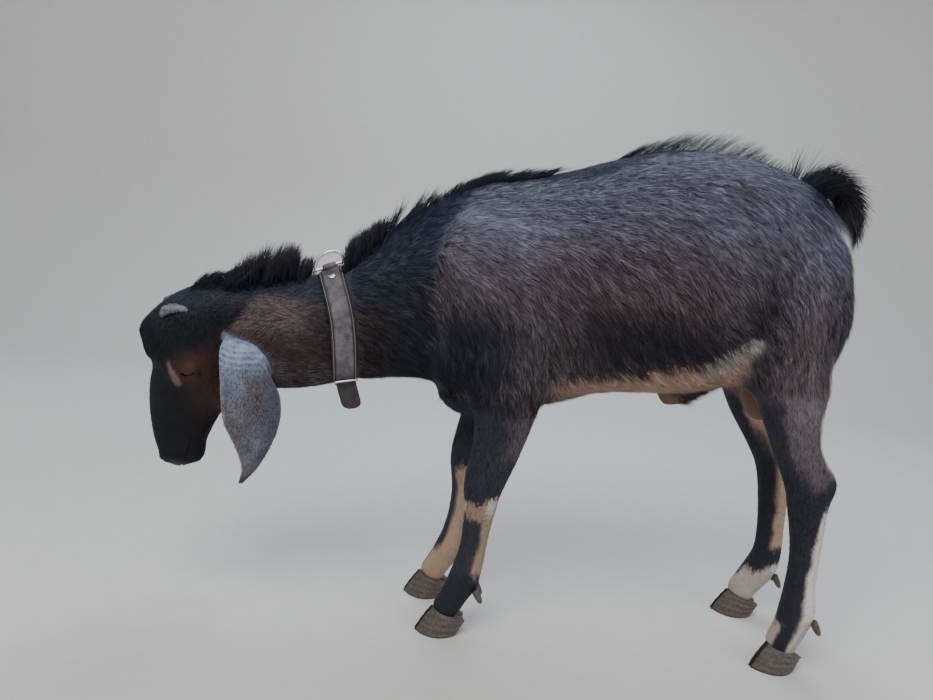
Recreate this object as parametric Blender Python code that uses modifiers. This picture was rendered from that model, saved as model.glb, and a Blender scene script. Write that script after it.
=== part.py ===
"""A young Nubian buck at life size: a still model, standing with its head lowered to feed.

The frame is in metres with +Z up. The goat looks along -X, and its left side is at -Y.
"""

import math
import random

import bmesh
import bpy
import numpy as np
from mathutils import Matrix, Vector

# Driving dimensions, in metres
GAP = 0.0003            # between nodes that touch
VOXEL = 0.0045          # grain of the flesh before it is thinned out
FLESH_TRIANGLES = 4060  # of head, neck, torso and legs together
BODY_SMOOTHING, HEAD_SMOOTHING = 26, 5
LEFT = Vector((0, -1, 0))
UP = Vector((0, 0, 1))

# The trunk from the rump to the chest: x, y, z, half width, up, down, pear, squareness
TRUNK = (
    (0.471, 0, 0.500, 0.026, 0.024, 0.036, 0.10, 2.0),
    (0.459, 0, 0.505, 0.047, 0.050, 0.080, 0.12, 2.1),
    (0.438, 0, 0.512, 0.067, 0.080, 0.114, 0.14, 2.2),
    (0.410, 0, 0.515, 0.087, 0.113, 0.128, 0.15, 2.2),
    (0.370, 0, 0.510, 0.102, 0.141, 0.140, 0.15, 2.2),
    (0.320, 0, 0.500, 0.110, 0.156, 0.147, 0.14, 2.2),
    (0.260, 0, 0.490, 0.117, 0.164, 0.152, 0.14, 2.2),
    (0.200, 0, 0.480, 0.116, 0.158, 0.146, 0.16, 2.2),
    (0.140, 0, 0.468, 0.108, 0.149, 0.142, 0.18, 2.2),
    (0.080, 0, 0.455, 0.098, 0.146, 0.152, 0.20, 2.1),
    (0.030, 0, 0.445, 0.086, 0.148, 0.158, 0.20, 2.0),
    (-0.010, 0, 0.430, 0.074, 0.136, 0.142, 0.12, 2.0),
    (-0.040, 0, 0.410, 0.052, 0.100, 0.100, 0.05, 2.0),
    (-0.056, 0, 0.400, 0.024, 0.050, 0.050, 0.0, 2.0),
)

# The neck from inside the shoulders to the back of the skull, in the same columns
NECK = (
    (0.060, 0.000, 0.460, 0.070, 0.120, 0.110, 0.15, 2.0),
    (0.005, 0.000, 0.448, 0.074, 0.132, 0.126, 0.15, 2.0),
    (-0.045, -0.004, 0.434, 0.069, 0.117, 0.116, 0.12, 2.0),
    (-0.090, -0.010, 0.418, 0.062, 0.098, 0.098, 0.08, 2.0),
    (-0.130, -0.017, 0.401, 0.056, 0.083, 0.081, 0.05, 2.0),
    (-0.170, -0.026, 0.388, 0.052, 0.073, 0.073, 0.02, 2.0),
    (-0.215, -0.037, 0.380, 0.051, 0.071, 0.076, 0.0, 2.0),
    (-0.260, -0.050, 0.376, 0.050, 0.066, 0.074, 0.0, 2.0),
    (-0.300, -0.064, 0.374, 0.046, 0.058, 0.064, 0.0, 2.0),
)

# The head has its own axes: u from the poll to the nose, v to the brow and w to the left
POLL = Vector((-0.322, -0.062, 0.424))
NOSE_FORWARD = math.radians(9)
HEAD_TURN = math.radians(22)
HEAD_LEAN = math.radians(8)
# Stations along u, from the poll: u, v, half width, towards the brow, towards the jaw, pear, squareness
SKULL = (
    (-0.016, -0.030, 0.022, 0.020, 0.020, 0.0, 2.0),
    (-0.006, -0.022, 0.038, 0.034, 0.034, 0.0, 2.0),
    (0.014, -0.014, 0.047, 0.055, 0.050, 0.0, 2.0),
    (0.040, -0.008, 0.051, 0.070, 0.058, 0.0, 2.1),
    (0.066, -0.006, 0.052, 0.079, 0.060, 0.0, 2.2),
    (0.088, -0.006, 0.050, 0.066, 0.060, 0.0, 2.2),
    (0.108, -0.007, 0.045, 0.057, 0.058, 0.0, 2.2),
    (0.132, -0.004, 0.037, 0.053, 0.052, -0.05, 2.2),
    (0.158, 0.000, 0.031, 0.045, 0.045, -0.05, 2.2),
    (0.184, 0.002, 0.028, 0.036, 0.040, -0.02, 2.3),
    (0.208, 0.000, 0.028, 0.029, 0.033, 0.0, 2.4),
    (0.226, -0.003, 0.024, 0.021, 0.024, 0.0, 2.3),
    (0.238, -0.005, 0.013, 0.010, 0.011, 0.0, 2.0),
)
# The same in the head's axes for muscle, bone and lips: u, v, w, three radii
HEAD_MASSES = {
    "orbit": (0.090, 0.012, 0.037, 0.028, 0.024, 0.019),
    "cheek": (0.100, -0.036, 0.022, 0.042, 0.034, 0.022),
    "jaw_angle": (0.086, -0.050, 0.016, 0.034, 0.024, 0.020),
    "upper_lip": (0.214, 0.004, 0.013, 0.018, 0.019, 0.017),
    "chin": (0.212, -0.024, 0.007, 0.020, 0.013, 0.015),
    "brow": (0.070, 0.040, 0.022, 0.030, 0.026, 0.024),
    "nose_wing": (0.222, 0.012, 0.015, 0.011, 0.010, 0.010),
    "ear_base": (0.046, -0.042, 0.036, 0.024, 0.026, 0.018),
}
EYE = (0.093, 0.006, 0.0425)
EYE_RADIUS = 0.0122
EYE_LOOK = (0.16, 0.24, 1.0)
EYE_SLIT = (0.35, 0.94, 0.0)
SLIT_LENGTH, SLIT_HEIGHT = 0.0165, 0.0058
LID = 0.0026
MOUTH_CORNER, MOUTH_LEVEL, MOUTH_RISE = 0.176, -0.0135, 0.10
MOUTH_RADIUS = 0.0013
NOSTRIL = (0.226, 0.0135, 0.0145)
NOSTRIL_RADII = (0.0062, 0.0028, 0.0060)
# The horn buds lie back along the crown: u, v, w of the root, and of the tip
HORN_ROOT, HORN_TIP = (0.034, 0.048, 0.024), (0.022, 0.018, 0.036)
HORN_RADIUS = 0.0085
# The ear hangs from root to tip: u, v, w, half width, curl, twist in degrees, thickness
EAR = (
    (0.030, -0.0470, 0.0360, 0.0200, 1.10, 8, 0.0060),
    (0.042, -0.0470, 0.0620, 0.0235, 0.85, 2, 0.0064),
    (0.056, -0.0465, 0.0745, 0.0260, 0.75, 2, 0.0062),
    (0.075, -0.0545, 0.0790, 0.0300, 0.65, 6, 0.0056),
    (0.096, -0.0660, 0.0795, 0.0360, 0.65, 9, 0.0052),
    (0.118, -0.0735, 0.0785, 0.0380, 0.65, 11, 0.0048),
    (0.143, -0.0790, 0.0775, 0.0350, 0.65, 12, 0.0044),
    (0.170, -0.0850, 0.0755, 0.0230, 0.65, 12, 0.0038),
    (0.198, -0.0860, 0.0740, 0.0100, 0.60, 10, 0.0033),
    (0.219, -0.0795, 0.0730, 0.0028, 0.50, 8, 0.0028),
)
# The tail rises from the croup and droops: x, y, z, half width, up, down
TAIL = (
    (0.392, 0, 0.592, 0.012, 0.012, 0.012),
    (0.412, 0, 0.616, 0.012, 0.012, 0.013),
    (0.437, 0, 0.630, 0.011, 0.011, 0.013),
    (0.460, 0, 0.625, 0.010, 0.010, 0.012),
    (0.476, 0, 0.605, 0.009, 0.009, 0.011),
    (0.481, 0, 0.582, 0.007, 0.007, 0.009),
    (0.480, 0, 0.566, 0.004, 0.004, 0.005),
)
TAIL_LOCKS, TAIL_LOCK_LENGTH, TAIL_LOCK_WIDTH = 24, 0.034, 0.017
SCROTUM = (0.400, 0.0, 0.346, 0.026, 0.0235, 0.036)
SHEATH = (
    (0.352, 0, 0.374, 0.015, 0.015, 0.015, 0, 2),
    (0.322, 0, 0.362, 0.019, 0.018, 0.019, 0, 2),
    (0.300, 0, 0.350, 0.021, 0.019, 0.021, 0, 2),
    (0.283, 0, 0.339, 0.020, 0.018, 0.020, 0, 2),
    (0.271, 0, 0.330, 0.015, 0.013, 0.014, 0, 2),
    (0.265, 0, 0.325, 0.009, 0.007, 0.008, 0, 2),
)

# The hair that stands along the neck and the back, in stretches: x from and to, space between
# locks, rows across, spread of the rows, width of a lock, lean towards the tail in degrees
MANE = {
    "nape": (-0.290, -0.214, 0.0125, 2, 0.0110, 0.0180, 4),
    "neck": (-0.163, 0.004, 0.0135, 2, 0.0120, 0.0200, 24),
}
BACK = {
    "withers": (-0.036, 0.086, 0.0190, 2, 0.0120, 0.0200, 48),
    "croup": (0.196, 0.398, 0.0180, 2, 0.0130, 0.0180, 46),
}
# Height of the hair's tips above the floor along x
HAIR_TIPS = (
    (-0.298, 0.450), (-0.284, 0.470), (-0.264, 0.487), (-0.244, 0.494), (-0.228, 0.491),
    (-0.214, 0.476), (-0.170, 0.488), (-0.160, 0.506), (-0.150, 0.520), (-0.128, 0.529),
    (-0.104, 0.556), (-0.086, 0.571), (-0.067, 0.583), (-0.051, 0.569), (-0.036, 0.585),
    (-0.016, 0.592), (0.019, 0.610), (0.047, 0.612), (0.092, 0.615), (0.151, 0.636),
    (0.198, 0.660), (0.247, 0.678), (0.299, 0.681), (0.351, 0.670), (0.385, 0.655), (0.410, 0.642),
)
CORE_SHARE = 0.45       # the mane's solid core reaches this far to the tips
CORE_HALF = 0.011
CORE_END = -0.045
ROOT_SINK = 0.006
SHORTEST_LOCK = 0.010
LOCK_FLATNESS = 0.30
LOCK_TAPER = ((0, 0.85), (0.50, 0.92), (1.0, 0.12))

# The collar: the middle of its loop, its tilt from upright and its turn from the midline
COLLAR_CENTRE = Vector((-0.171, -0.027, 0.396))
COLLAR_TILT, COLLAR_TURN = math.radians(11.4), math.radians(12)
BAND_WIDTH, BAND_THICK, BAND_SINK = 0.031, 0.0030, -0.001
COLLAR_BOW = 0.006      # how far the band lies back from its plane on both sides of the neck
COLLAR_ROOM = 0.03      # the neck is cut back to the band as far out as this
STRAP_WIDTH, STRAP_THICK = 0.022, 0.0024
COLLAR_STEPS = 32
RING_ANGLE, RIVET_ANGLE, BUCKLE_ANGLE = math.radians(80), math.radians(62), math.radians(-72)
RING_WIDTH, RING_HEIGHT, RING_WIRE = 0.037, 0.018, 0.0018
BUCKLE_SIZE, BUCKLE_WIRE = (0.029, 0.017), 0.0014
END_LENGTH, END_WIDTH, END_THICK = 0.037, 0.025, 0.0028

# Legs from inside the body to the pastern: x, z, half width, towards the front, towards the back
NEAR_FORE = (
    (0.040, 0.420, 0.030, 0.050, 0.050),
    (0.046, 0.370, 0.036, 0.054, 0.056),
    (0.052, 0.320, 0.036, 0.044, 0.050),
    (0.053, 0.285, 0.031, 0.037, 0.040),
    (0.048, 0.250, 0.026, 0.033, 0.034),
    (0.040, 0.218, 0.024, 0.030, 0.031),
    (0.036, 0.197, 0.023, 0.027, 0.028),
    (0.037, 0.176, 0.020, 0.024, 0.024),
    (0.035, 0.150, 0.018, 0.022, 0.021),
    (0.032, 0.120, 0.018, 0.020, 0.021),
    (0.027, 0.092, 0.020, 0.022, 0.023),
    (0.023, 0.074, 0.021, 0.023, 0.024),
    (0.012, 0.050, 0.019, 0.021, 0.021),
    (-0.001, 0.024, 0.019, 0.022, 0.022),
)
FAR_FORE = (
    (0.036, 0.420, 0.030, 0.050, 0.050),
    (0.040, 0.370, 0.036, 0.054, 0.056),
    (0.040, 0.320, 0.036, 0.044, 0.050),
    (0.036, 0.285, 0.031, 0.037, 0.040),
    (0.027, 0.250, 0.026, 0.033, 0.034),
    (0.019, 0.220, 0.024, 0.031, 0.031),
    (0.016, 0.197, 0.023, 0.027, 0.028),
    (0.017, 0.176, 0.020, 0.024, 0.024),
    (0.016, 0.150, 0.018, 0.022, 0.021),
    (0.011, 0.120, 0.018, 0.020, 0.021),
    (0.007, 0.092, 0.020, 0.022, 0.023),
    (0.001, 0.074, 0.021, 0.023, 0.024),
    (-0.012, 0.050, 0.019, 0.021, 0.021),
    (-0.026, 0.024, 0.019, 0.022, 0.022),
)
NEAR_HIND = (
    (0.392, 0.520, 0.030, 0.058, 0.044),
    (0.392, 0.460, 0.043, 0.070, 0.050),
    (0.396, 0.410, 0.045, 0.059, 0.050),
    (0.405, 0.365, 0.041, 0.045, 0.048),
    (0.415, 0.325, 0.034, 0.036, 0.037),
    (0.425, 0.290, 0.028, 0.030, 0.031),
    (0.440, 0.258, 0.025, 0.029, 0.034),
    (0.446, 0.236, 0.024, 0.028, 0.031),
    (0.449, 0.212, 0.022, 0.026, 0.026),
    (0.453, 0.180, 0.019, 0.023, 0.023),
    (0.455, 0.145, 0.018, 0.021, 0.021),
    (0.455, 0.110, 0.019, 0.022, 0.022),
    (0.456, 0.080, 0.022, 0.025, 0.026),
    (0.449, 0.052, 0.020, 0.023, 0.023),
    (0.438, 0.024, 0.020, 0.023, 0.023),
)
FAR_HIND = (
    (0.392, 0.520, 0.030, 0.058, 0.044),
    (0.392, 0.460, 0.043, 0.070, 0.050),
    (0.398, 0.410, 0.045, 0.059, 0.050),
    (0.409, 0.365, 0.041, 0.047, 0.048),
    (0.420, 0.325, 0.034, 0.038, 0.037),
    (0.436, 0.290, 0.028, 0.031, 0.031),
    (0.456, 0.255, 0.025, 0.029, 0.034),
    (0.466, 0.228, 0.024, 0.028, 0.030),
    (0.469, 0.200, 0.022, 0.025, 0.026),
    (0.472, 0.165, 0.019, 0.023, 0.023),
    (0.474, 0.130, 0.018, 0.022, 0.022),
    (0.475, 0.100, 0.019, 0.023, 0.023),
    (0.468, 0.074, 0.022, 0.026, 0.026),
    (0.452, 0.050, 0.020, 0.023, 0.023),
    (0.438, 0.024, 0.020, 0.023, 0.023),
)
# Each leg: stations, side (-1 left), distance of hoof and shoulder or hip from the midline,
# level of the body cut, level of the joint cut, foot's turn
LEGS = {
    "fore_left": (NEAR_FORE, -1, 0.058, 0.062, 0.306, 0.186, 0.10),
    "fore_right": (FAR_FORE, 1, 0.042, 0.062, 0.306, 0.186, -0.04),
    "hind_left": (NEAR_HIND, -1, 0.072, 0.066, 0.348, 0.214, 0.18),
    "hind_right": (FAR_HIND, 1, 0.072, 0.066, 0.348, 0.214, -0.10),
}
THIGH_FRONT = 0.350     # the hind legs are parted from the trunk behind this x
BRISKET_HALF = 0.024    # and the forelegs outside this half width
CORONET = 0.031         # height of the hoof's top at the middle of the foot
CORONET_SLOPE = 0.32    # it is lower at the heel
CLAW_LENGTH, CLAW_WIDTH, CLAW_CLEFT = 0.054, 0.0205, 0.0022

# Muscle and bone that stand out: centre x, y (for the left), z, three radii, turn about Y in degrees
MASSES = {
    "shoulder": (0.026, -0.058, 0.440, 0.066, 0.042, 0.118, -18),
    "shoulder_point": (-0.014, -0.044, 0.372, 0.040, 0.036, 0.050, -20),
    "upper_arm": (0.046, -0.058, 0.372, 0.052, 0.036, 0.050, -30),
    "brisket": (0.010, -0.012, 0.322, 0.048, 0.034, 0.040, 0),
    "elbow": (0.080, -0.058, 0.345, 0.032, 0.024, 0.046, 20),
    "thigh": (0.397, -0.062, 0.455, 0.072, 0.044, 0.100, 8),
    "stifle": (0.372, -0.064, 0.405, 0.044, 0.032, 0.052, 30),
    "hip": (0.318, -0.052, 0.596, 0.052, 0.032, 0.034, 10),
    "pin_bone": (0.440, -0.034, 0.560, 0.024, 0.021, 0.023, 0),
    "buttock": (0.436, -0.043, 0.498, 0.034, 0.034, 0.076, 0),
    "flank": (0.220, -0.056, 0.440, 0.120, 0.056, 0.094, 0),
}
HOCK_POINTS = {
    "hind_left": (0.468, -0.0735, 0.252, 0.016, 0.013, 0.024, -10),
    "hind_right": (0.486, 0.0730, 0.248, 0.016, 0.013, 0.024, -10),
}

# Cuts through the flesh: a point on each plane and its normal
HEAD_CUT = (Vector((-0.292, -0.060, 0.372)), Vector((-0.90, -0.32, -0.32)))
NECK_CUT = (Vector((-0.052, 0.0, 0.440)), Vector((-0.985, 0.0, 0.17)))


def clear_scene():
    for obj in list(bpy.data.objects):
        bpy.data.objects.remove(obj, do_unlink=True)


def collection(name, hidden=False):
    made = bpy.data.collections.new(name)
    made.hide_render = hidden
    bpy.context.scene.collection.children.link(made)
    return made


def material(name, colour, roughness, metallic=0.0):
    made = bpy.data.materials.new(name)
    made.use_nodes = True
    shader = made.node_tree.nodes["Principled BSDF"]
    shader.inputs["Base Color"].default_value = (*colour, 1.0)
    shader.inputs["Roughness"].default_value = roughness
    shader.inputs["Metallic"].default_value = metallic
    return made


def add_object(name, bm, home, paint=None):
    bmesh.ops.triangulate(bm, faces=bm.faces)
    mesh = bpy.data.meshes.new(name)
    bm.to_mesh(mesh)
    bm.free()
    obj = bpy.data.objects.new(name, mesh)
    if paint:
        mesh.materials.append(paint)
    home.objects.link(obj)
    return obj


def curve_rows(rows, steps):
    """Catmull-Rom rows through the given ones, with steps rows to each stretch."""
    table = np.array(rows, float)
    ends = np.vstack([2 * table[0] - table[1], table, 2 * table[-1] - table[-2]])
    found = []
    for i in range(1, len(ends) - 2):
        a, b, c, d = ends[i - 1:i + 3]
        for t in np.arange(steps) / steps:
            found.append(0.5 * (2 * b + (c - a) * t + (2 * a - 5 * b + 4 * c - d) * t * t
                                + (3 * b - a - 3 * c + d) * t ** 3))
    found.append(table[-1])
    return np.array(found)


def signed_power(value, power):
    return math.copysign(abs(value) ** power, value)


def ring_points(centre, side, dorsal, row, count):
    """Points of a cross-section: half width, up, down, pear and squareness are the row's."""
    width, up, down, pear, square = row
    points = []
    for k in range(count):
        angle = 2 * math.pi * k / count
        c, s = math.cos(angle), math.sin(angle)
        across = signed_power(c, 2 / square) * width * (1 - pear * s)
        along = signed_power(s, 2 / square) * (up if s > 0 else down)
        points.append(centre + side * across + dorsal * along)
    return points


def bridge_rings(bm, rings, cap=True):
    """Skins the rings with quads and closes both ends."""
    made = [[bm.verts.new(p) for p in ring] for ring in rings]
    count = len(made[0])
    for a, b in zip(made, made[1:]):
        for k in range(count):
            bm.faces.new((a[k], a[(k + 1) % count], b[(k + 1) % count], b[k]))
    if cap:
        bm.faces.new(made[0])
        bm.faces.new(made[-1])


def loft(bm, rows, count=20, steps=4, frame=None):
    """A closed form through stations of centre, half width, up, down, pear and squareness."""
    table = curve_rows(rows, steps)
    centres = [Vector(r[:3]) for r in table]
    rings = []
    for i, row in enumerate(table):
        ahead = centres[min(i + 1, len(table) - 1)] - centres[max(i - 1, 0)]
        ahead.normalize()
        side = (LEFT - ahead * LEFT.dot(ahead)).normalized()
        rings.append(ring_points(centres[i], side, ahead.cross(side), row[3:], count))
    if frame:
        rings = [[frame @ p for p in ring] for ring in rings]
    bridge_rings(bm, rings)


def head_frame():
    """Takes head axes (v, w, u as x, y, z) to the goat's frame."""
    axes = Matrix(((-1, 0, 0), (0, -1, 0), (0, 0, -1)))
    tilt = Matrix.Rotation(NOSE_FORWARD, 3, "Y")
    turn = Matrix.Rotation(HEAD_TURN, 3, "Z")
    lean = Matrix.Rotation(HEAD_LEAN, 3, "X")
    return Matrix.Translation(POLL) @ (turn @ tilt @ axes @ lean).to_4x4()


def head_point(u, v, w):
    """A point given along the nose, towards the brow and to the left."""
    return head_frame() @ Vector((v, w, u))


def head_direction(u, v, w):
    return (head_frame().to_3x3() @ Vector((v, w, u))).normalized()


def ball(bm, place, radii, segments=20, rings=12):
    scale = Matrix.Diagonal((*radii, 1))
    bmesh.ops.create_uvsphere(bm, u_segments=segments, v_segments=rings, radius=1,
                              matrix=place @ scale)


def skull_rows():
    """The skull's stations as loft rows, in a frame whose x is v, y is w and z is u."""
    return [(v, 0, u, w, up, down, pear, square) for u, v, w, up, down, pear, square in SKULL]


def loft_skull(bm, count=24, steps=4):
    frame = head_frame()
    rings = []
    for row in curve_rows(skull_rows(), steps):
        centre = Vector(row[:3])
        ring = ring_points(centre, Vector((0, 1, 0)), Vector((1, 0, 0)), row[3:], count)
        rings.append([frame @ p for p in ring])
    bridge_rings(bm, rings)


def leg_rows(name):
    rows, side, foot, root, *_ = LEGS[name]
    top, bottom = rows[0][1], rows[-1][1]
    made = []
    for x, z, width, front, back in rows:
        share = min(1, (top - z) / (top - bottom) * 1.5)
        y = side * (root + (foot - root) * share)
        made.append((x, y, z, width, front, back, 0.0, 2.1))
    return made


def place_mass(x, y, z, turn, side=-1):
    turned = Matrix.Rotation(math.radians(turn), 4, "Y")
    return Matrix.Translation((x, -side * y, z)) @ turned


def body_forms():
    """Trunk, neck, legs and their muscles as closed forms that run into one another."""
    bm = bmesh.new()
    loft(bm, TRUNK, 28)
    loft(bm, NECK, 24)
    for name in LEGS:
        loft(bm, leg_rows(name), 16)
    for x, y, z, a, b, c, turn in MASSES.values():
        for side in (-1, 1):
            ball(bm, place_mass(x, y, z, turn, side), (a, b, c))
    for x, y, z, a, b, c, turn in HOCK_POINTS.values():
        ball(bm, place_mass(x, y, z, turn), (a, b, c))
    bmesh.ops.recalc_face_normals(bm, faces=bm.faces)
    return bm


def head_forms(bm):
    loft_skull(bm)
    frame = head_frame()
    for u, v, w, a, b, c in HEAD_MASSES.values():
        for side in (-1, 1):
            ball(bm, frame @ Matrix.Translation((v, side * w, u)), (b, c, a), 16, 10)
    bmesh.ops.recalc_face_normals(bm, faces=bm.faces)


def regrain(obj, grain, smoothing):
    """One even skin over all that the object holds, smoothed."""
    remesh = obj.modifiers.new("grain", "REMESH")
    remesh.mode = "VOXEL"
    remesh.voxel_size = grain
    soften = obj.modifiers.new("soften", "SMOOTH")
    soften.factor = 0.5
    soften.iterations = smoothing
    apply_modifiers(obj)


def build_flesh(home):
    """Head, neck, trunk and legs as one closed skin."""
    body = add_object("body", body_forms(), home)
    regrain(body, VOXEL, BODY_SMOOTHING)
    bm = bmesh.new()
    bm.from_mesh(body.data)
    loft(bm, SHEATH, 12)
    head_forms(bm)
    flesh = add_object("flesh", bm, home)
    bpy.data.objects.remove(body, do_unlink=True)
    regrain(flesh, VOXEL, HEAD_SMOOTHING)
    thin_out(flesh, FLESH_TRIANGLES)
    return flesh


def apply_modifiers(obj):
    """Replaces the object's mesh with what its modifiers make of it."""
    bpy.context.view_layer.update()
    graph = bpy.context.evaluated_depsgraph_get()
    made = bpy.data.meshes.new_from_object(obj.evaluated_get(graph))
    obj.modifiers.clear()
    obj.data = made


def thin_out(obj, triangles):
    split = obj.modifiers.new("split", "TRIANGULATE")
    split.quad_method = "FIXED"
    apply_modifiers(obj)
    thin = obj.modifiers.new("thin", "DECIMATE")
    thin.ratio = triangles / len(obj.data.polygons)
    apply_modifiers(obj)


def combine(obj, other, operation, solver="MANIFOLD"):
    """Applies one Boolean of obj with another object and keeps the result in obj."""
    step = obj.modifiers.new(operation, "BOOLEAN")
    step.operation = operation
    step.solver = solver
    step.object = other
    apply_modifiers(obj)


def fuse_all(obj, pieces, home):
    """Joins the pieces to obj in one Boolean, then removes them."""
    group = bpy.data.collections.new("pieces_of_" + obj.name)
    home.children.link(group)
    for piece in pieces:
        for owner in list(piece.users_collection):
            owner.objects.unlink(piece)
        group.objects.link(piece)
    step = obj.modifiers.new("fuse", "BOOLEAN")
    step.operation = "UNION"
    step.solver = "MANIFOLD"
    step.operand_type = "COLLECTION"
    step.collection = group
    apply_modifiers(obj)
    for piece in list(group.objects):
        bpy.data.objects.remove(piece, do_unlink=True)
    bpy.data.collections.remove(group)


def keep_largest(obj):
    """Leaves only the closed surface with the most area. Surfaces that share a corner are parted."""
    bm = bmesh.new()
    bm.from_mesh(obj.data)
    bm.faces.ensure_lookup_table()
    island_of = {}
    areas = []
    for start in bm.faces:
        if start.index in island_of:
            continue
        queue, area = [start], 0.0
        island_of[start.index] = len(areas)
        while queue:
            face = queue.pop()
            area += face.calc_area()
            joined = [other for edge in face.edges for other in edge.link_faces]
            for other in joined:
                if other.index not in island_of:
                    island_of[other.index] = len(areas)
                    queue.append(other)
        areas.append(area)
    largest = areas.index(max(areas))
    scraps = [face for face in bm.faces if island_of[face.index] != largest]
    if scraps:
        bmesh.ops.delete(bm, geom=scraps, context="FACES")
    bm.to_mesh(obj.data)
    bm.free()


def half_space(name, point, normal, home, gap=GAP / 2, reach=1.2):
    """A large block whose one face lies on the plane, moved off it by the gap along the normal."""
    turn = normal.to_track_quat("Z", "Y").to_matrix().to_4x4()
    place = Matrix.Translation(point + normal.normalized() * gap) @ turn
    bm = bmesh.new()
    bmesh.ops.create_cube(bm, size=1, matrix=place @ Matrix.Diagonal((reach, reach, reach, 1))
                          @ Matrix.Translation((0, 0, 0.5)))
    return add_object(name, bm, home)


def block(name, low, high, home):
    low, high = Vector(low), Vector(high)
    bm = bmesh.new()
    size = high - low
    bmesh.ops.create_cube(bm, size=1, matrix=Matrix.Translation((low + high) / 2)
                          @ Matrix.Diagonal((*size, 1)))
    return add_object(name, bm, home)


def copy_of(obj, name, home):
    made = bpy.data.objects.new(name, obj.data.copy())
    home.objects.link(made)
    return made


def part_flesh(flesh, goat, tools, paints):
    """Cuts the flesh into head, neck, torso, and an upper and a lower piece of each leg."""
    nodes = {}
    head_side = half_space("head_side", *HEAD_CUT, tools)
    behind_head = half_space("behind_head", HEAD_CUT[0], -HEAD_CUT[1], tools)
    neck_side = half_space("neck_side", *NECK_CUT, tools)
    trunk_side = half_space("trunk_side", NECK_CUT[0], -NECK_CUT[1], tools)
    head = copy_of(flesh, "head", goat)
    combine(head, head_side, "INTERSECT")
    neck = copy_of(flesh, "neck", goat)
    combine(neck, behind_head, "INTERSECT")
    combine(neck, neck_side, "INTERSECT")
    torso = copy_of(flesh, "torso", goat)
    combine(torso, trunk_side, "INTERSECT")
    nodes.update(head=head, neck=neck, torso=torso)
    trunk = copy_of(torso, "trunk_copy", tools)
    for name, (rows, side, foot, root, body_cut, joint_cut, turn) in LEGS.items():
        hind = name.startswith("hind")
        x_low, x_high = (THIGH_FRONT, 0.7) if hind else (-0.3, THIGH_FRONT)
        y_in = side * (0 if hind else BRISKET_HALF)
        y_low, y_high = sorted((y_in, side * 0.4))
        spans = {"upper": (joint_cut + GAP / 2, body_cut - GAP / 2),
                 "lower": (-0.1, joint_cut - GAP / 2)}
        for part, (z_low, z_high) in spans.items():
            node = "leg_" + name + "_" + part
            piece = copy_of(trunk, node, goat)
            box = block(node + "_box", (x_low, y_low, z_low), (x_high, y_high, z_high), tools)
            combine(piece, box, "INTERSECT")
            nodes[node] = piece
        y_low, y_high = sorted((y_in - side * GAP, side * 0.5))
        below = block("below_body", (x_low - GAP, y_low, -0.5), (x_high, y_high, body_cut + GAP / 2), tools)
        combine(torso, below, "DIFFERENCE")
    for name, node in nodes.items():
        keep_largest(node)
        node.data.materials.clear()
        node.data.materials.append(paints["coat"])
    return nodes


def claw_profile(side):
    """Half of a cloven hoof seen from above: points from heel to toe, the inner side straight."""
    length, width = CLAW_LENGTH, CLAW_WIDTH
    outer = []
    for k in range(9):
        t = k / 8
        along = length * (0.5 - t)
        across = width * (math.sin(math.pi * min(1, t * 0.92 + 0.13)) ** 0.62)
        outer.append((along, CLAW_CLEFT + across))
    inner = [(length * (t - 0.5), CLAW_CLEFT) for t in (0.02, 0.35, 0.7, 0.97)]
    return [(x, side * y) for x, y in outer + inner]


def build_claw(name, foot, turn, side, home, paint):
    """One claw: flat at the floor, leaning to the toe, with its top in the coronet's slope."""
    bm = bmesh.new()
    rings = []
    for level, grow, shift in ((0.0, 1.0, -0.004), (0.35, 0.98, 0.0), (0.8, 0.88, 0.008),
                               (1.0, 0.82, 0.012)):
        ring = []
        for x, y in claw_profile(side):
            x, y = x * grow + shift, CLAW_CLEFT * side + (y - CLAW_CLEFT * side) * grow
            top = CORONET - x * CORONET_SLOPE - GAP
            ring.append(Vector((x, y, max(0.0, top) * level)))
        rings.append(ring)
    place = Matrix.Translation(foot) @ Matrix.Rotation(turn, 4, "Z")
    bridge_rings(bm, [[place @ p for p in ring] for ring in rings])
    bmesh.ops.recalc_face_normals(bm, faces=bm.faces)
    return add_object(name, bm, home, paint)


def foot_place(name):
    rows, side, foot, root, body_cut, joint_cut, turn = LEGS[name]
    x, z = rows[-1][0], rows[-1][1]
    return Vector((x - 0.004, side * foot, 0)), turn


def build_feet(nodes, goat, tools, paints):
    for name in LEGS:
        foot, turn = foot_place(name)
        slope = Matrix.Rotation(turn, 3, "Z") @ Vector((CORONET_SLOPE, 0, 1)).normalized()
        under = half_space("under_" + name, foot + UP * CORONET, -slope, tools, gap=0)
        combine(nodes["leg_" + name + "_lower"], under, "DIFFERENCE")
        keep_largest(nodes["leg_" + name + "_lower"])
        for claw, side in (("outer", -1), ("inner", 1)):
            side *= 1 if LEGS[name][1] < 0 else -1
            build_claw(f"hoof_{name}_{claw}", foot, turn, side, goat, paints["horn"])


def clear_of(piece, *hosts, gap=GAP):
    """Cuts the piece back from its hosts by the gap."""
    for host in hosts:
        grown = copy_of(host, "grown", bpy.data.collections["cutters"])
        grow = grown.modifiers.new("grow", "DISPLACE")
        grow.strength = gap
        grow.mid_level = 0
        apply_modifiers(grown)
        combine(piece, grown, "DIFFERENCE")
        bpy.data.objects.remove(grown, do_unlink=True)


def seat(piece, *hosts):
    """Cuts the piece clear of its hosts, so that they meet face to face, and drops scraps."""
    clear_of(piece, *hosts)
    keep_largest(piece)


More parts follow.
